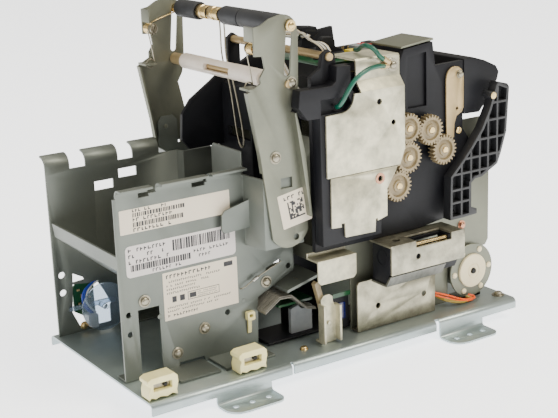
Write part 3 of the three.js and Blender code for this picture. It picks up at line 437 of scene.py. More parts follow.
# ---- camera, light and floor ----
def add_camera():
    """The camera fitted to the photograph, given by its azimuth, elevation and roll."""
    azimuth, elevation, roll = (math.radians(a) for a in CAMERA_TURN_DEG)
    back = Vector((math.sin(azimuth) * math.cos(elevation), -math.cos(azimuth) * math.cos(elevation),
                   math.sin(elevation)))
    right = Vector((math.cos(azimuth), math.sin(azimuth), 0))
    up = back.cross(right)
    leaning_right = right * math.cos(roll) + up * math.sin(roll)
    leaning_up = up * math.cos(roll) - right * math.sin(roll)
    place = Matrix((leaning_right, leaning_up, back)).transposed().to_4x4()
    place.translation = Vector(CAMERA_PLACE) * MM
    data = bpy.data.cameras.new("camera")
    data.lens = CAMERA_LENS
    data.sensor_width = CAMERA_SENSOR
    data.clip_start = CAMERA_CLIP_M
    camera = bpy.data.objects.new("camera", data)
    camera.matrix_world = place
    into_scene(camera)
    bpy.context.scene.camera = camera


def add_light(name, place, target, size, power, colour):
    """A rectangular light at a place in metres, aimed at a target."""
    data = bpy.data.lights.new(name, "AREA")
    data.shape = "RECTANGLE"
    data.size = size[0]
    data.size_y = size[1]
    data.energy = power
    data.color = colour
    light = bpy.data.objects.new(name, data)
    light.location = place
    aim = Vector(target) - Vector(place)
    light.rotation_euler = aim.to_track_quat("-Z", "Y").to_euler()
    into_scene(light)


def add_studio():
    """A warm key light, two weaker ones and an even warm surround."""
    add_light("key", (0.5, -0.9, 1.3), (0, 0, 0.08), (0.9, 0.7), 23, (1.0, 0.94, 0.79))
    add_light("left", (-1.3, -0.3, 0.8), (0, 0, 0.08), (0.8, 0.8), 4, (1.0, 0.95, 0.83))
    add_light("top", (0.0, 0.3, 1.6), (0, 0, 0.1), (1.2, 1.2), 9, (1.0, 0.95, 0.83))
    world = bpy.data.worlds.new("studio")
    world.use_nodes = True
    background = world.node_tree.nodes["Background"]
    background.inputs["Color"].default_value = (1.0, 0.96, 0.86, 1)
    background.inputs["Strength"].default_value = 0.5
    bpy.context.scene.world = world


def add_floor():
    """A wide, slightly glowing sheet just under the part."""
    shape = bmesh.new()
    bmesh.ops.create_grid(shape, x_segments=1, y_segments=1, size=FLOOR_HALF_M)
    mesh = bpy.data.meshes.new("floor")
    shape.to_mesh(mesh)
    shape.free()
    material = surface("floor_paper", (0.86, 0.90, 0.98), (0.84, 0.88, 0.96), (0.8, 0.9), cloud=2,
                       bump=0.0)
    shader = material.node_tree.nodes["Principled BSDF"]
    shader.inputs["Emission Color"].default_value = (1, 1, 1, 1)
    shader.inputs["Emission Strength"].default_value = FLOOR_GLOW
    mesh.materials.append(material)
    floor = bpy.data.objects.new("floor", mesh)
    floor.location = (0, 0, -FLOOR_DROP_M)
    into_scene(floor)


# ---- fasteners ----
def cross_head(radius):
    """A domed screw head with a cross recess, its seat at height 0."""
    high = radius * 0.62
    dome = [(0, 0), (radius * 0.96, 0), (radius, high * 0.18), (radius * 0.97, high * 0.45),
            (radius * 0.78, high * 0.8), (radius * 0.45, high * 0.97), (0, high)]
    head = turned(dome, (0, 0), "Z", 32)
    arm, half = radius * 0.55, radius * 0.13
    tool = block(-arm, arm, -half, half, high * 0.4, high * 2)
    block(-half, half, -arm, arm, high * 0.4, high * 2, tool)
    return carve(head, tool)


def slot_head(radius):
    """A low round screw head with one slot, its seat at height 0."""
    high = radius * 0.5
    head = turned(rod(radius, 0, high, radius * 0.12), (0, 0), "Z", 32)
    tool = block(-radius * 1.2, radius * 1.2, -radius * 0.14, radius * 0.14, high * 0.45, high * 2)
    return carve(head, tool)


def fastener(name, x, y, z, normal=(0, -1, 0), radius=2.4, kind="cross", washer=1.42,
             material=DULL_STEEL, turn=20):
    """A screw whose seat is at a point and whose head faces along a normal."""
    shape = cross_head(radius) if kind == "cross" else slot_head(radius)
    lift = 0.75 if washer else 0.0
    bmesh.ops.translate(shape, vec=(0, 0, lift), verts=shape.verts)
    if washer:
        turned(ring(radius * 0.5, radius * washer, 0.02, 0.5, 0.12), (0, 0), "Z", 40, shape)
        turned(ring(radius * 0.5, radius * 1.12, 0.5, lift + 0.02, 0.08), (0, 0), "Z", 32, shape)
    seat = aimed((x, y, z), normal, turn)
    bmesh.ops.transform(shape, matrix=seat, verts=shape.verts)
    if kind == "cross":
        # A thin dark sheet at the bottom of the cross recess is painted shade.
        reach, half, low = radius * 0.54, radius * 0.12, lift + radius * 0.24
        recess_shade = block(-reach, reach, -half, half, low, low + radius * 0.06)
        block(-half, half, -reach, reach, low, low + radius * 0.06, recess_shade)
        bmesh.ops.transform(recess_shade, matrix=seat, verts=recess_shade.verts)
        add_piece(name + "_recess", recess_shade, DARK_AND_PAINTED_SHADE)
    add_piece(name, shape, material, smooth=35)


def rivet(name, x, y, z, radius, high, material):
    """A low domed button facing the near side."""
    profile = [(0, y), (radius, y), (radius * 0.96, y - high * 0.5), (radius * 0.7, y - high * 0.9),
               (0, y - high)]
    add_piece(name, turned(profile, (x, z), "Y", 24), material)


def slab(name, outline, near, far, material, bevel=0.0):
    """A fixed flat piece: an outline in X and Z between two places in Y."""
    add_piece(name, prism(outline, near, far), material, bevel=bevel)


# ---- sheet metal and mouldings that keep their CAD shape ----
def refine_nodes():
    """Gives these nodes their material and rounds their edges by a number of millimetres."""
    groups = (
        (PLATE_ZINC, 0.3, "base_plate"),
        (WALL_ZINC, 0.3, "bucket_near_wall bucket_far_wall bucket_rear_wall paper_cradle"),
        (ARM_ZINC, 0.3, "arm_near arm_far"),
        (ZINC, 0.3, "shield_upper shield_lower guide_bracket latch_channel"),
        (COVER_ZINC, 0.3, "presenter_cover"),
        (ARM_ZINC, 0.3, "top_cover near_mechanism_plate far_mechanism_plate"),
        (ZINC, 0.5, "feed_motor print_head"),
        (BLACK, 0.4, "near_side_frame far_side_frame paper_throat near_cover presenter_body"),
        (SATIN_BLACK, 0.4, "ribbed_bracket"),
        (BLACK, 0.8, "head_housing"),
        (TAN_STEEL, 0.25, "head_lock_plate"),
        (NYLON, 0.3, "release_lever"),
        (TUBE_NYLON, 0.35, "guide_tube"),
        (BOARD, 0.15, "control_board"),
        (STEEL, 0.12, "cutter_blade fixed_blade head_spring_bar"),
        (CLEAR_BLUE, 0.15, "sensor_disc"),
        (DARK_AND_PAINTED_SHADE, 0.2, "motor_shaft"),
    )
    for material, bevel, names in groups:
        for name in names.split():
            refined(name, material, bevel)
    mount = refined("presenter_mount_plate", MOUNT_ZINC, 0.3)
    # The strip's front faces get the darker zinc as painted shade.
    front, lip = -49.5, 40
    paint(mount, STRIP_PAINTED_SHADE, lambda middle: middle.y < front and middle.z > lip)


# ---- labels: plain stickers with bars and broken lines, no lettering ----
class Sticker:
    """Marks drawn on a flat label whose face looks to the near side."""

    def __init__(self, name, origin, across, up, y, body="frame"):
        self.name = name
        self.origin = Vector((origin[0], origin[1]))
        self.across = Vector(across)
        self.up = Vector(up)
        self.y = y
        self.body = body
        self.marks = bmesh.new()

    def at(self, a, b):
        """The place on the wall of a point given along and up the label."""
        point = self.origin + self.across * a + self.up * b
        return (point.x, point.y)

    def paper(self, width, height, radius, material):
        outline = [self.at(a, b) for a, b in rounded(0, width, 0, height, radius, 4)]
        add_piece(self.name + "_paper", prism(outline, self.y - PAPER_DEPTH, self.y), material, self.body)

    def mark(self, a0, a1, b0, b1):
        corners = [self.at(a0, b0), self.at(a1, b0), self.at(a1, b1), self.at(a0, b1)]
        prism(corners, self.y - INK_FRONT, self.y - INK_BACK, "Y", self.marks)

    def bars(self, a0, a1, b0, b1, seed):
        """A row of upright bars of mixed widths."""
        pick = random.Random(seed)
        a = a0
        while a < a1 - 0.5:
            width = pick.choice((0.4, 0.55, 0.8, 1.1))
            self.mark(a, min(a + width, a1), b0, b1)
            a += width + pick.choice((0.3, 0.4, 0.6))

    def broken_line(self, a0, a1, b, high, seed, gap=0.35):
        """A row of short blocks, as type looks from too far to read."""
        pick = random.Random(seed)
        a = a0
        while a < a1 - 0.4:
            width = pick.uniform(0.5, 0.8) * high
            if pick.random() > 0.12:
                end = min(a + width, a1)
                self.mark(a, a + 0.26 * high, b + high * 0.1, b + high * 0.9)
                middle = b + high * pick.choice((0.12, 0.45, 0.7))
                self.mark(a + 0.24 * high, end, middle, middle + high * 0.26)
            a += width + gap * high

    def matrix(self, a0, b0, size, cells, seed):
        """A square of random cells with two full edges."""
        pick = random.Random(seed)
        cell = size / cells
        for i in range(cells):
            for j in range(cells):
                edge = i == 0 or j == 0
                if edge or pick.random() < 0.48:
                    self.mark(a0 + i * cell, a0 + (i + 1.02) * cell,
                              b0 + j * cell, b0 + (j + 1.02) * cell)

    def print_marks(self):
        add_piece(self.name + "_marks", self.marks, INK, self.body)


def wall_stickers():
    """The three labels on the near wall, each with its marks in millimetres from its lower left."""
    flat = ((1, 0), (0, 1), NEAR_WALL_Y)
    top = Sticker("sticker_top", (-120, 92.6), *flat)
    top.paper(65.5, 12.9, 0.4, PAPER)
    top.broken_line(7.5, 27, 10.9, 1.9, 1)
    top.bars(7.5, 38, 8.4, 10.6, 2)
    top.broken_line(7.5, 31, 6.0, 2.1, 3)
    top.bars(7.5, 38, 3.1, 5.6, 4)
    top.broken_line(7.5, 30, 0.5, 2.2, 5)
    top.print_marks()
    middle = Sticker("sticker_middle", (-118, 69), *flat)
    middle.paper(66, 17, 2.2, LILAC_PAPER)
    middle.broken_line(1.5, 26, 13.4, 2.3, 6)
    middle.broken_line(1.5, 22, 10.2, 2.3, 7)
    middle.broken_line(1.5, 25, 7.0, 2.3, 8)
    middle.bars(27.5, 63, 9.6, 15.6, 9)
    middle.bars(2.5, 38, 3.2, 6.6, 10)
    middle.broken_line(40, 62, 6.0, 2.0, 11)
    middle.broken_line(43, 50, 3.0, 2.0, 12)
    middle.broken_line(15, 32, 0.7, 2.0, 13)
    middle.print_marks()
    low = Sticker("sticker_low", (-97.5, 40.7), *flat)
    low.paper(45.8, 26.7, 0.4, PAPER)
    low.broken_line(2, 29, 23, 2.4, 14)
    low.mark(37.5, 43, 22.6, 25.2)
    for row, (length, seed) in enumerate(((33, 15), (26, 16), (18, 17), (20, 18))):
        low.broken_line(2, 2 + length, 20.6 - row * 2.1, 1.3, seed)
    low.mark(5, 7.6, 9.6, 12.8)
    low.mark(9.6, 12.6, 9.6, 12.8)
    for a0, a1, b0, b1 in ((14.5, 34, 13.2, 13.5), (14.5, 34, 9.0, 9.3), (14.5, 14.8, 9.0, 13.5),
                           (33.7, 34, 9.0, 13.5)):
        low.mark(a0, a1, b0, b1)
    low.mark(15.6, 19.6, 9.9, 12.6)
    for row in range(3):
        low.broken_line(20.6, 33, 9.7 + row * 1.1, 0.7, 20 + row)
    low.broken_line(2, 41, 6.3, 1.2, 25)
    low.broken_line(2, 33, 4.4, 1.2, 26)
    low.broken_line(2, 20, 1.6, 1.7, 27)
    low.print_marks()


def arm_sticker():
    lean = math.radians(9.2)
    across = (math.cos(lean), math.sin(lean))
    up = (-0.185, 0.983)
    sticker = Sticker("arm_sticker", (-32.5, 82.8), across, up, ARM_NEAR_Y)
    sticker.paper(19.0, 19.2, 0.6, PAPER)
    sticker.broken_line(1.5, 17.5, 15.2, 2.4, 31)
    sticker.matrix(5.2, 4.0, 10.0, 12, 32)
    sticker.print_marks()


# ---- paper bucket ----
def bucket_details():
    for index, (x, z) in enumerate(((-108.9, 54.9), (-73.9, 31.3), (-91.3, 21.2), (-33.4, 48.9))):
        fastener(f"wall_screw_{index + 1}", x, NEAR_WALL_Y, z, turn=15 + 40 * index)
    for index, (x, z) in enumerate(((-100.4, 44.2), (-48.2, 41.0))):
        rivet(f"wall_dimple_{index + 1}", x, NEAR_WALL_Y, z, 1.4, 0.35, WALL_ZINC)
    y = NEAR_WALL_Y
    route = [(-50.2, y - 0.2, 48.4), (-49.4, y - 1.6, 49), (-45, y - 2.2, 51.4),
             (-40.4, y - 2.4, 53.6), (-34, y - 2.6, 56.2), (-24.3, y - 2.4, 59.6)]
    wire("bar_return_wire", route, 0.35, DULL_STEEL)
    sleeve = turned(ring(0.4, 0.95, -1.9, 1.9, 0.15), (0, 0), "Z", 20)
    seat = aimed((-41.8, y - 2.35, 52.9), Vector((8.6, 0, 4.6)).normalized())
    bmesh.ops.transform(sleeve, matrix=seat, verts=sleeve.verts)
    add_piece("wire_ferrule", sleeve, STEEL)
    cable_tie()


def cable_tie():
    y = NEAR_WALL_Y
    head = prism(rounded(-47.9, -43.0, 29.6, 34.6, 0.9), y - 3.0, y - 0.05)
    tool = block(-46.6, -44.4, y - 4, y + 1, 31.4, 33.2)
    add_piece("tie_head", carve(head, tool), CREAM_NYLON, bevel=0.3)
    strap = [(y - 0.1, 21.4), (y - 0.9, 22), (y - 1.3, 25), (y - 1.5, 29.8), (y - 0.5, 29.8),
             (y - 0.3, 25), (y - 0.05, 22)]
    add_piece("tie_strap", prism(strap, -46.9, -44.6, "X"), CREAM_NYLON, bevel=0.15)


def sensor_details():
    y = 57.2
    outline = [(-111, 24), (-111.5, 38), (-108.5, 41.8), (-98, 41), (-97, 20), (-104, 19.5)]
    slab("sensor_board", outline, y, y + 1.4, BOARD, 0.1)
    parts = bmesh.new()
    for x, z, w, h in ((-108, 37, 1.6, 1.2), (-106, 33, 1.2, 2.2), (-100.4, 36.4, 2.4, 1.4),
                       (-100.6, 31, 1.2, 1.2), (-107.6, 28, 1.4, 2.4), (-101, 26.8, 1.8, 1.2)):
        block(x - w / 2, x + w / 2, y - 0.9, y, z - h / 2, z + h / 2, parts)
    add_piece("sensor_board_parts", parts, TAN_STEEL, bevel=0.1)
    plug = prism(rounded(-104.6, -98.6, 14.6, 22.4, 0.6), y - 5.5, y - 0.2)
    add_piece("sensor_plug_fine", plug, TUBE_NYLON, bevel=0.3)
    for index, (material, shift) in enumerate(((BLUE_WIRE, 0), (WHITE_WIRE, 1.5), (BLUE_WIRE, -1.2))):
        route = [(-100.2 + shift, y - 3, 22.4), (-103.5 + shift, y - 4.2, 26),
                 (-106.4 + shift, y - 4.6, 31), (-105.4 + shift, y - 4.4, 36.4),
                 (-101.6 + shift, y - 3.6, 39.6), (-97 + shift, y - 2, 41)]
        wire(f"sensor_wire_{index + 1}", route, 0.55, material)
    fastener("sensor_screw", -107, FAR_WALL_Y - SHEET, 15.8, radius=1.7, material=BRASS)


def cable_clips():
    for name in ("cable_clip_1", "cable_clip_2"):
        low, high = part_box(name)
        x = (low[0] + high[0]) / 2 / MM
        y0 = low[1] / MM
        z0 = low[2] / MM
        side = ((-8.2, 0), (-7.4, 1.4), (-4.6, 0.4), (-2, 1.2), (2, 0.4), (5, 1.4), (8.2, 0.2), (7.8, 2.6),
                (8.8, 7), (8.6, 10.4), (6.8, 12.2), (-6.6, 12), (-8.7, 10.8), (-8.8, 9), (-7.4, 7.4),
                (-8.4, 4.4))
        face = [(x + across, z0 + up) for across, up in side]
        body = prism(face, y0 + 0.1, y0 + 9.3)
        tool = block(x - 5.6, x + 5.2, y0 - 2, y0 + 14, z0 + 4.6, z0 + 8.6)
        piece = add_piece(name + "_fine", carve(body, tool), CREAM_NYLON, bevel=0.7, segments=3)
        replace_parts(piece, name)
        insert = prism(rounded(x - 5.5, x + 5.1, z0 + 4.7, z0 + 8.5, 0.3), y0 + 3, y0 + 8.6)
        add_piece(name + "_insert", insert, DULL_STEEL, bevel=0.2)
        contact = turned(rod(1.3, y0 + 1.6, y0 + 3.2, 0.4), (x + 2.2, z0 + 6.6), "Y", 24)
        add_piece(name + "_contact", contact, DARK_AND_PAINTED_SHADE)


# ---- arms and tension bar ----
def arm_details():
    for index, (x, z) in enumerate(((-24.6, 161.5), (-36.2, 123.1))):
        fastener(f"arm_screw_{index + 1}", x, ARM_NEAR_Y, z, turn=10 + 35 * index)
    rivet("far_tab_rivet", -36.2, ARM_FAR_Y - 2.8, 121.1, 1.4, 0.6, ARM_ZINC)
    for side, face, inward in (("near", ARM_NEAR_Y + SHEET, 1), ("far", ARM_FAR_Y - SHEET, -1)):
        x, z = SPRING
        normal = (0, inward, 0)
        seat = face + inward * 7.2
        fastener(f"spring_screw_{side}", x, seat, z, normal, radius=2.5, kind="slot", washer=1.3, turn=70)
        bush = turned(ring(2.0, 2.25, min(face, seat), max(face, seat), 0.05), (x, z), "Y", 32)
        add_piece(f"spring_bush_{side}", bush, BRASS)
        bar_spring(side, face, inward)


def bar_spring(side, face, inward):
    """A coil around the bush with a long leg under the bar; its tail hooks on the arm's lower tab."""
    x, z = SPRING
    points = []
    start = face + inward * 6.2
    pitch = -inward * COIL_PITCH
    for i in range(COIL_TURNS * COIL_STEPS + 1):
        angle = math.radians(COIL_START_DEG + 360 * i / COIL_STEPS)
        points.append((x + COIL_R * math.cos(angle), start + pitch * i / COIL_STEPS,
                       z + COIL_R * math.sin(angle)))
    y = points[-1][1]
    points += [(-36, y, 185.7), (-24.5, y, 188.9), (-21.6, y, 189.7)]
    body = BODY_OF[f"torsion_spring_{side}"]
    piece = wire(f"bar_spring_{side}_fine", points, COIL_WIRE_R, BRASS, body, straight=True)
    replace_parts(piece, f"torsion_spring_{side}")
    low = face + inward * 6.4
    tail = [(x - 2.8, low, z - 1), (x - 1.6, low, 174), (-44.2, low, 166), (-43.6, low, 161.9)]
    wire(f"spring_tail_{side}", tail, TAIL_WIRE_R, DULL_STEEL)
    hook = [(-43.6, low, 161.9), (-45.2, low, 163.4), (-47.6, low, 163), (-48.6, low - inward * 0.4, 161),
            (-47.4, low - inward * 0.6, 158.8), (-44.6, low - inward * 0.6, 158.6)]
    wire(f"spring_hook_{side}", hook, TAIL_WIRE_R, DULL_STEEL)


def tension_bar():
    """The bar with its collars, the three rollers, the two bushes and the spacers between them."""
    near, far = ARM_NEAR_Y, ARM_FAR_Y
    profile = [(0, near - 2.4), (1.3, near - 2.4), (BAR_R, near - 2.1), (BAR_R, near - 1.7),
               (1.2, near - 1.6), (1.2, near - 1.3), (BAR_R, near - 1.2), (BAR_R, far + 2.1),
               (1.3, far + 2.4), (0, far + 2.4)]
    body = BODY_OF["tension_bar"]
    shape = turned(profile, BAR, "Y", 40)
    for low, high in ((near - 1.6, near - 0.3), (far + 0.3, far + 1.6), (near + 1.6, near + 2.8),
                      (67.2, 68.4)):
        turned(ring(BAR_R, 3.1, low, high, 0.15), BAR, "Y", 36, shape)
    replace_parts(add_piece("tension_bar_fine", shape, BRASS, body), "tension_bar")
    for index, (low, high) in enumerate(((43.2, 66.0), (-2.6, 15.6), (-37.0, -3.2))):
        node = f"rubber_roller_{index + 1}"
        profile = [(BAR_R + ROLLER_FIT, low + 0.8), (3.9, low + 0.8), (4.3, low), (4.9, low + 0.15),
                   (5.2, low + 0.8), (5.2, high - 0.8), (4.9, high - 0.15), (4.3, high), (3.9, high - 0.8),
                   (BAR_R + ROLLER_FIT, high - 0.8)]
        piece = add_piece(node + "_fine", turned(profile, BAR, "Y", 56), RUBBER, BODY_OF[node])
        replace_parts(piece, node)
    for index, (low, high) in enumerate(((32.2, 42.9), (19.4, 30.6))):
        node = f"brass_bush_{index + 1}"
        groove = (low + high) / 2
        profile = [(BAR_R + ROLLER_FIT, low), (3.8, low), (4.0, low + 0.3), (4.0, groove - 1.1),
                   (3.5, groove - 0.8), (3.5, groove + 0.8), (4.0, groove + 1.1), (4.0, high - 0.3),
                   (3.8, high), (BAR_R + ROLLER_FIT, high)]
        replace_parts(add_piece(node + "_fine", turned(profile, BAR, "Y", 48), BRASS, body), node)
    spacers = bmesh.new()
    for low, high in ((15.9, 19.2), (30.8, 32.0)):
        turned(ring(BAR_R, 3.2, low, high, 0.2), BAR, "Y", 36, spacers)
    add_piece("bar_spacers", spacers, RUBBER, body)


def guide_details():
    """The fixed shaft below the bar, its collars and the wire hoop that hangs from it."""
    profile = rod(GUIDE_R, ARM_NEAR_Y - 1.2, ARM_FAR_Y + 1.2, 0.3)
    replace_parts(add_piece("guide_shaft_fine", turned(profile, GUIDE, "Y", 40), TAN_STEEL), "guide_shaft")
    collar = turned(ring(GUIDE_R, 3.4, 60.2, 72.9, 0.3), GUIDE, "Y", 40)
    turned(ring(GUIDE_R, 3.2, -26.4, -24.8, 0.3), GUIDE, "Y", 40, collar)
    add_piece("guide_collars", collar, TAN_STEEL)
    x = -19.6
    route = ((189, 26.3), (184, 25.7), (165, 24.4), (155.5, 19.6), (118, 10.1))
    first = [(x, y, z) for z, y in route]
    second = [(x, y + 4.6, z) for z, y in reversed(route)]
    loop = wire("wire_guide_fine", first + [(x, 12, 115.8)] + second, 0.45, DULL_STEEL)
    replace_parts(loop, "wire_guide")


# ---- gears ----
GEARS = {
    "idler_gear_upper": (47.6, 127.5, 23),
    "platen_gear": (63.4, 124.4, 23),
    "feed_gear": (73.2, 111.6, 23),
    "idler_gear_lower": (47.3, 111.05, 24),
    "motor_gear": (39.7, 96.1, 24),
}


def mesh_angle(source, target, angle):
    """Angle of a gear's first tooth so that it meshes with its neighbour at rest."""
    x0, z0, teeth0 = GEARS[source]
    x1, z1, teeth1 = GEARS[target]
    line = math.atan2(z1 - z0, x1 - x0)
    return line + math.pi - (angle - line) * teeth0 / teeth1 - math.pi / teeth1


def gear_outline(teeth, angle):
    """Tooth outline as (radius, angle) pairs, from root to rounded tip and back."""
    pitch = MODULE * teeth / 2
    root = pitch - MODULE * 1.25
    tip = pitch + MODULE * 0.95
    step = 2 * math.pi / teeth
    flank = [(root, 0.345), (root + 0.25, 0.30), (pitch - 0.3, 0.255), (pitch, 0.222),
             (pitch + 0.35, 0.17), (tip - 0.1, 0.115), (tip, 0.08)]
    points = []
    for tooth in range(teeth):
        centre = angle + tooth * step
        points += [(radius, centre - share * step) for radius, share in flank]
        points += [(radius, centre + share * step) for radius, share in reversed(flank)]
    return points, root


def gear(name, angle):
    """A gear with a raised rim and hub. A ring without a radius of its own follows the teeth."""
    x, z, teeth = GEARS[name]
    outline, root = gear_outline(teeth, angle)
    rim = root - 1.3
    rings = [
        (PIN_R, GEAR_BACK), (None, GEAR_BACK), (None, GEAR_FRONT), (rim, GEAR_FRONT),
        (rim - 0.25, GEAR_FRONT + 1.3), (4.2, GEAR_FRONT + 0.95), (3.6, GEAR_FRONT + 0.9),
        (3.3, GEAR_FRONT - 0.1), (2.9, GEAR_FRONT - 0.3), (PIN_R, GEAR_FRONT - 0.3),
    ]
    shape = bmesh.new()
    loops = []
    for radius, y in rings:
        loops.append([
            shape.verts.new((x + (radius or r) * math.cos(a), y, z + (radius or r) * math.sin(a)))
            for r, a in outline
        ])
    for first, second in zip(loops, loops[1:] + loops[:1]):
        for i in range(len(outline)):
            j = (i + 1) % len(outline)
            shape.faces.new((first[i], first[j], second[j], second[i]))
    piece = add_piece(name + "_fine", shape, NYLON, BODY_OF[name], smooth=30)
    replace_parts(piece, name)


def pin_end(name, x, z, body):
    """The visible end of a shaft, with one flat."""
    points = []
    for i in range(25):
        angle = math.radians(-50 + 280 * i / 24)
        points.append((x + PIN_R * math.cos(angle), z + PIN_R * math.sin(angle)))
    add_piece(name, prism(points, GEAR_FRONT - 1.0, GEAR_FRONT + 3), BRASS, body, bevel=0.2)


def gear_train():
    """The five gears in mesh at rest, the ends of their pins and the two shafts behind them."""
    angles = {"platen_gear": 0.1}
    for source, target in (("platen_gear", "idler_gear_upper"), ("platen_gear", "feed_gear"),
                           ("idler_gear_upper", "idler_gear_lower"), ("idler_gear_lower", "motor_gear")):
        angles[target] = mesh_angle(source, target, angles[source])
    for name, angle in angles.items():
        gear(name, angle)
    carriers = {"idler_gear_upper": "frame", "idler_gear_lower": "frame",
                "platen_gear": BODY_OF["platen_gear"], "feed_gear": BODY_OF["feed_gear"],
                "motor_gear": BODY_OF["motor_gear"]}
    for name, body in carriers.items():
        x, z, _ = GEARS[name]
        pin_end(name.replace("gear", "pin"), x, z, body)
    x, z, _ = GEARS["platen_gear"]
    rubber = turned(ring(PIN_R + 0.1, 7, -39, 39, 0.4), (x, z), "Y", 64)
    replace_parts(add_piece("platen_rubber_fine", rubber, RUBBER, BODY_OF["platen_rubber"]), "platen_rubber")
    shaft = turned(rod(PIN_R, -53, 48.7), (x, z), "Y", 32)
    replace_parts(add_piece("platen_shaft_fine", shaft, BRASS, BODY_OF["platen_shaft"]), "platen_shaft")
    x, z, _ = GEARS["feed_gear"]
    profile = [(0, -53), (PIN_R, -53), (PIN_R, -39), (4.7, -39), (5, -38.7), (5, 38.7), (4.7, 39),
               (PIN_R, 39), (PIN_R, 48.7), (0, 48.7)]
    roller = turned(profile, (x, z), "Y", 48)
    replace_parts(add_piece("feed_roller_fine", roller, STEEL, BODY_OF["feed_roller"]), "feed_roller")


# ---- mechanism details ----
def star_screw_and_terminals():
    """The earth screw on the shield with its two ring terminals and green wires."""
    y = -53.6
    x, z = 37.3, 164.3
    fastener("earth_screw", x, y - 1.2, z, radius=2.1, washer=1.7)
    for index, (dx, dz, low) in enumerate(((-6, 0.1, 0.0), (-5.4, 3.4, 0.55))):
        lug = turned(ring(2.2, 3.7, y - low - 0.5, y - low - 0.02, 0.08), (x, z), "Y", 32)
        add_piece(f"ring_terminal_{index + 1}", lug, STEEL)
        barrel = turned(ring(0.9, 1.55, 3.4, 8.2, 0.15), (0, 0), "Z", 20)
        seat = aimed((x, y - low - 1.5, z), Vector((dx, 0, dz)).normalized())
        bmesh.ops.transform(barrel, matrix=seat, verts=barrel.verts)
        add_piece(f"terminal_barrel_{index + 1}", barrel, TAN_STEEL)
    long_route = [(31.5, -55.2, 164.4), (24.8, -58.2, 165.4), (15.6, -60.4, 164.8), (7.6, -60.8, 160.8),
                  (2.8, -60.4, 155.4), (0.4, -59.2, 150.6), (-0.6, -56.8, 147.4), (-0.8, -54.6, 146.4)]
    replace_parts(wire("ground_wire_long_fine", long_route, 1.3, GREEN), "ground_wire_long")
    short_route = [(31.8, -55.4, 167.4), (27.4, -56, 170.4), (25, -54.8, 174), (23, -51.4, 176),
                   (23.4, -47.4, 175.6), (25, -43, 174.2), (26, -39, 172.2), (26.6, -35.4, 171.7)]
    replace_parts(wire("ground_wire_short_fine", short_route, 1.3, GREEN), "ground_wire_short")


def shield_details():
    """Single fasteners on the shield, the lock plate, the mechanism plate and the ribbed bracket."""
    seat = turned(ring(1.7, 3.1, SHIELD_Y - 0.35, SHIELD_Y - 0.02, 0.1), (25.2, 103.4), "Y", 32)
    add_piece("shield_eyelet", seat, COPPER)
    fastener("lock_bolt", 89.3, -50.6, 152.3, radius=1.9, washer=1.25)
    fastener("adjuster_screw", 89.6, -49.1, 119.3, radius=2.0, kind="slot", washer=None, material=BRASS,
             turn=75)
    fastener("plate_copper_screw", 98.7, -42.0, 58.8, radius=2.0, material=COPPER)
    rivet("bracket_pin_face", 107.3, -59.6, 138.7, 2.05, 0.2, BRASS)


def top_shaft_details():
    profile = rod(TOP_SHAFT_R, -50.5, 50, 0.3)
    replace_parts(add_piece("top_shaft_fine", turned(profile, TOP_SHAFT, "Y", 40), TAN_STEEL), "top_shaft")


def motor_details():
    """The stepper with its face and rivets, its four leads and the screws on the plate beside it."""
    x, z = MOTOR
    y = MOTOR_Y
    flange = turned(ring(2.0, MOTOR_R, y, y + SHEET, 0.25), MOTOR, "Y", 96)
    turned(ring(2.0, 12.4, y + SHEET, y + 14.5, 0.8), MOTOR, "Y", 72, flange)
    block(x - 8.4, x + 8.4, y + 1.3, y + 2.5, PLATE_TOP + 0.3, 22, flange)
    block(x - 8.4, x + 8.4, y + 1.3, y + 11, PLATE_TOP + 0.3, PLATE_TOP + 1.5, flange)
    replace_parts(add_piece("stepper_motor_fine", flange, ARM_ZINC), "stepper_motor")
    face = [(1.9, y - 0.05), (10.4, y - 0.05), (10.4, y - 1.1), (10.0, y - 1.5), (4.8, y - 1.5),
            (4.5, y - 1.2), (4.0, y - 1.2), (3.7, y - 1.5), (1.9, y - 1.5)]
    add_piece("motor_face_fine", turned(face, MOTOR, "Y", 72), FACE_NYLON)
    rivets, circle = 6, 13.6
    for index in range(rivets):
        angle = math.radians(360 // rivets * index + 3)
        rivet(f"motor_rivet_{index + 1}", x + circle * math.cos(angle), y, z + circle * math.sin(angle),
              1.75, 0.9, FACE_NYLON)
    route = [(77, -43.2, 21), (84, -46.8, 18.6), (93, -49.8, 15), (99.5, -50, 14), (103.4, -48.6, 14),
             (100.6, -46.3, 15.4)]
    leads = wire("motor_lead_orange", route, 0.65, ORANGE)
    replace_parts(leads, "motor_leads")
    for index, (material, drop) in enumerate(((BROWN, 0.9), (BROWN, 1.9), (ORANGE, 0.4))):
        route = [(76 + drop, -43.8, 20 - drop), (83, -47.6 - drop * 0.4, 17.6 - drop),
                 (91, -50.2 - drop * 0.3, 14.6 - drop * 0.4), (97.6 - drop, -50.6, 13.6),
                 (101.6 - drop, -49.2, 13.7), (100 - drop, -46.8, 15)]
        wire(f"motor_lead_{index + 2}", route, 0.6, material)
    up = (0, 0, 1)
    fastener("plate_screw", 120.5, -51.3, PLATE_TOP, up, radius=2.6, washer=1.5)
    fastener("latch_screw", -22.6, -48.7, PLATE_TOP, up, radius=2.0, washer=1.2, material=BRASS)


def harness():
    """Six strands side by side along the route of the head's harness."""
    route = [(30.5, 16, 171), (14, 10, 177), (0, 2, 178), (-9, -12, 172), (-10.6, -24, 161), (-8, -30, 151.5)]
    strands = []
    for index in range(6):
        angle = math.pi / 3 * index
        shift = Vector((math.cos(angle), 0.4 * math.sin(angle), math.sin(angle))) * 1.35
        material = (CREAM_WIRE, WHITE_WIRE)[index % 2]
        strand = [tuple(Vector(p) + shift) for p in route]
        strands.append(wire(f"harness_strand_{index + 1}", strand, 0.62, material))
    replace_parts(strands[0], "head_harness")


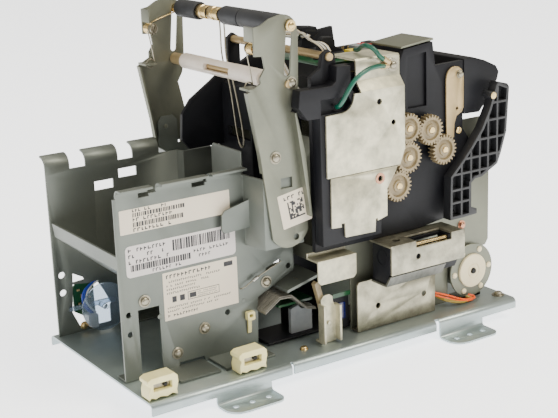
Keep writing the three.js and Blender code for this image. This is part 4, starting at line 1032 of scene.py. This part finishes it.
def wire_bundle():
    """Thin wires that come out of the black plug, cross the top shaft and drop behind the near cover."""
    materials = (CREAM_WIRE, BLACK, WHITE_WIRE, CREAM_WIRE, BLACK, WHITE_WIRE, CREAM_WIRE)
    for index, material in enumerate(materials):
        spread = index - 3
        start = (19 - 0.5 * spread, 6.5 - 1.5 * spread, 177.2 - 0.5 * spread)
        crest = (-3 + 0.7 * spread, -36 + 0.8 * spread, 180.2 - 0.3 * spread)
        over = (1.8 + 0.8 * spread, -41.4 + 0.5 * spread, 176.4 + 0.25 * spread)
        drop = (2.6 + 0.9 * spread, -43.6, 168.6)
        rise = (8 + spread, -14, 180.4 - 0.4 * spread)
        route = [start, rise, crest, over, drop, (5 + 0.9 * spread, -43.4, 158)]
        wire(f"bundle_wire_{index + 1}", route, 0.5, material)


def board_parts():
    """Plugs, jumpers and small parts on the control board and along the top of the mechanism."""
    top = 164.8
    parts = (
        ("board_edge_yellow_1", YELLOW, (29, 36, -27.5, -22, top, top + 5.4)),
        ("board_edge_yellow_2", YELLOW, (39, 46, -27.5, -22, top, top + 3.8)),
        ("filter_block", GREY_PLASTIC, (36.6, 42.4, -27, -16, top, top + 6.6)),
        ("warning_lamp", RED, (46, 52, -18, -10, top + 0.4, top + 5.6)),
        ("pin_header", CREAM_NYLON, (34, 39.5, 2, 9, top, top + 5.4)),
        ("relay_block", BLACK, (22, 34, -18, 8, top, top + 3.4)),
    )
    for name, material, sizes in parts:
        add_piece(name, block(*sizes), material, bevel=0.5)
    pins = bmesh.new()
    for step in range(5):
        x = 30.5 + 2.2 * step
        turned(rod(0.35, top, top + 5.6 - 0.3 * (step % 3), 0.1), (x, -12 + 1.5 * (step % 2)), "Z", 10, pins)
    add_piece("board_pins", pins, TAN_STEEL)
    lug = [(15, 164), (19, 176), (20.6, 177.4), (27, 176.8), (29, 174.6), (29.2, 171), (34, 169.4), (36, 164)]
    slab("plug_bank_lug", lug, -14, -10.5, BLACK, 0.8)
    plug = [(20.2, 175.6), (19.8, 180), (21, 181.2), (30.6, 180.2), (32.2, 176.2), (27.6, 173.6), (22, 174.6)]
    slab("wire_plug", plug, 6, 14, BLACK, 0.7)
    # The slot is a dark sheet on the plug's face with no opening cut: painted shade.
    slot = [(22.6, 178.2), (22.6, 179.2), (29.4, 178.4), (29.4, 177.4)]
    slab("wire_plug_slot", slot, 5.7, 6.1, DARK_AND_PAINTED_SHADE)
    fastener("plug_screw", 19.4, 9, 176.8, (-1, -0.3, 0.2), radius=1.7, washer=None, material=STEEL)
    stand = [(20, 164.8), (22, 174.9), (29, 174.2), (31, 164.8)]
    slab("wire_plug_stand", stand, 8, 13, BLACK, 0.5)


def interior_details():
    """The modules that show below the gears: light sensor, paper path, ribbon cable and latch parts."""
    housing = rounded(-10.5, 12, 64.8, 81.6, 1.2)
    slab("sensor_housing", housing, -45.6, -43, BLACK, 0.5)
    eye = (-2.4, 74.2)
    add_piece("sensor_eye_rim", turned(ring(2.2, 3.2, -46.8, -45.5, 0.3), eye, "Y", 36), BLACK)
    lens = [(0, -46.6), (1.2, -46.5), (2.1, -46.0), (2.1, -45.4), (0, -45.4)]
    add_piece("sensor_eye", turned(lens, eye, "Y", 36), LENS)
    shelf = [(-27, 45.4), (-6, 50.6), (-6, 48.8), (-27, 43.6)]
    slab("paper_shelf", shelf, -41, -12, WALL_ZINC, 0.2)
    ribbon = [(-40, 34), (-30, 40.5), (-22, 40), (-12, 31), (-6, 29.4), (-6, 28.8), (-12.4, 30.3),
              (-22, 39.2), (-30, 39.8), (-40, 33.2)]
    slab("ribbon_cable", ribbon, -38, -16, RIBBON, 0.1)
    layers = bmesh.new()
    for step in range(6):
        y = -37.4 + 3.6 * step
        prism([(p, q + 0.7) for p, q in ribbon], y, y + 2.9, "Y", layers)
    add_piece("ribbon_strands", layers, RIBBON, bevel=0.1)
    carrier = [(-18, 14), (-18, 29), (-13, 30.5), (-10.4, 28), (-8, 28), (-6.6, 30), (-3.4, 29), (-3.4, 14)]
    slab("cable_carrier", carrier, -30, -27, GREY_PLASTIC, 0.4)
    add_piece("lower_board", block(-26, -3, -30, -6, 31.6, 33), BOARD, bevel=0.1)
    pillar = turned(ring(0.8, 1.9, -36, -31, 0.3), (-15.9, 46.2), "Y", 28)
    add_piece("brass_pillar", pillar, BRASS)
    bay = rounded(2.6, 14.8, 14, 33.6, 0.8)
    slab("lower_module", bay, -40.6, -36, BLACK, 0.4)
    lamp = rounded(4.6, 12, 20, 30, 0.6)
    slab("lower_module_window", lamp, -41.2, -40.4, LENS, 0.2)
    add_piece("lower_module_board", block(2.6, 15, -42, -41.2, 33.8, 36.4), BOARD, bevel=0.1)
    add_piece("duct_wall", block(-12, 15, -12, -10, 13, 60), BLACK, bevel=0.3)
    add_piece("duct_floor", block(-36, 84, -34, -12, 12.9, 14.2), BLACK, bevel=0.3)
    plate = rounded(57.2, 69, 66.4, 79.8, 5.4, 8)
    slab("cream_retainer", plate, -43.4, -42.2, CREAM_NYLON, 0.2)
    for index, (x, z) in enumerate(((61.4, 76.4), (64.6, 70.4))):
        rivet(f"retainer_screw_{index + 1}", x, -43.4, z, 1.5, 0.5, DULL_STEEL)


def presenter_details():
    """The rod in the presenter's window, the ring on its side and the sticker on the top cover."""
    bar = turned(rod(1.4, 44.6, 69.4), (-62, 62), "X", 28)
    add_piece("presenter_rod", bar, BRASS)
    emboss = turned(ring(4.2, 4.8, 25.95, 26.3, 0.05), (-57.6, 57.2), "X", 40)
    add_piece("presenter_side_ring", emboss, BLACK)
    sticker = [(55, 171.75), (67, 173.06), (67, 173.2), (55, 171.9)]
    slab("cover_sticker", sticker, -40, -27, STICKER)


add_camera()
add_studio()
add_floor()
refine_nodes()
wall_stickers()
arm_sticker()
bucket_details()
sensor_details()
cable_clips()
arm_details()
tension_bar()
guide_details()
gear_train()
star_screw_and_terminals()
shield_details()
top_shaft_details()
motor_details()
harness()
wire_bundle()
board_parts()
interior_details()
presenter_details()
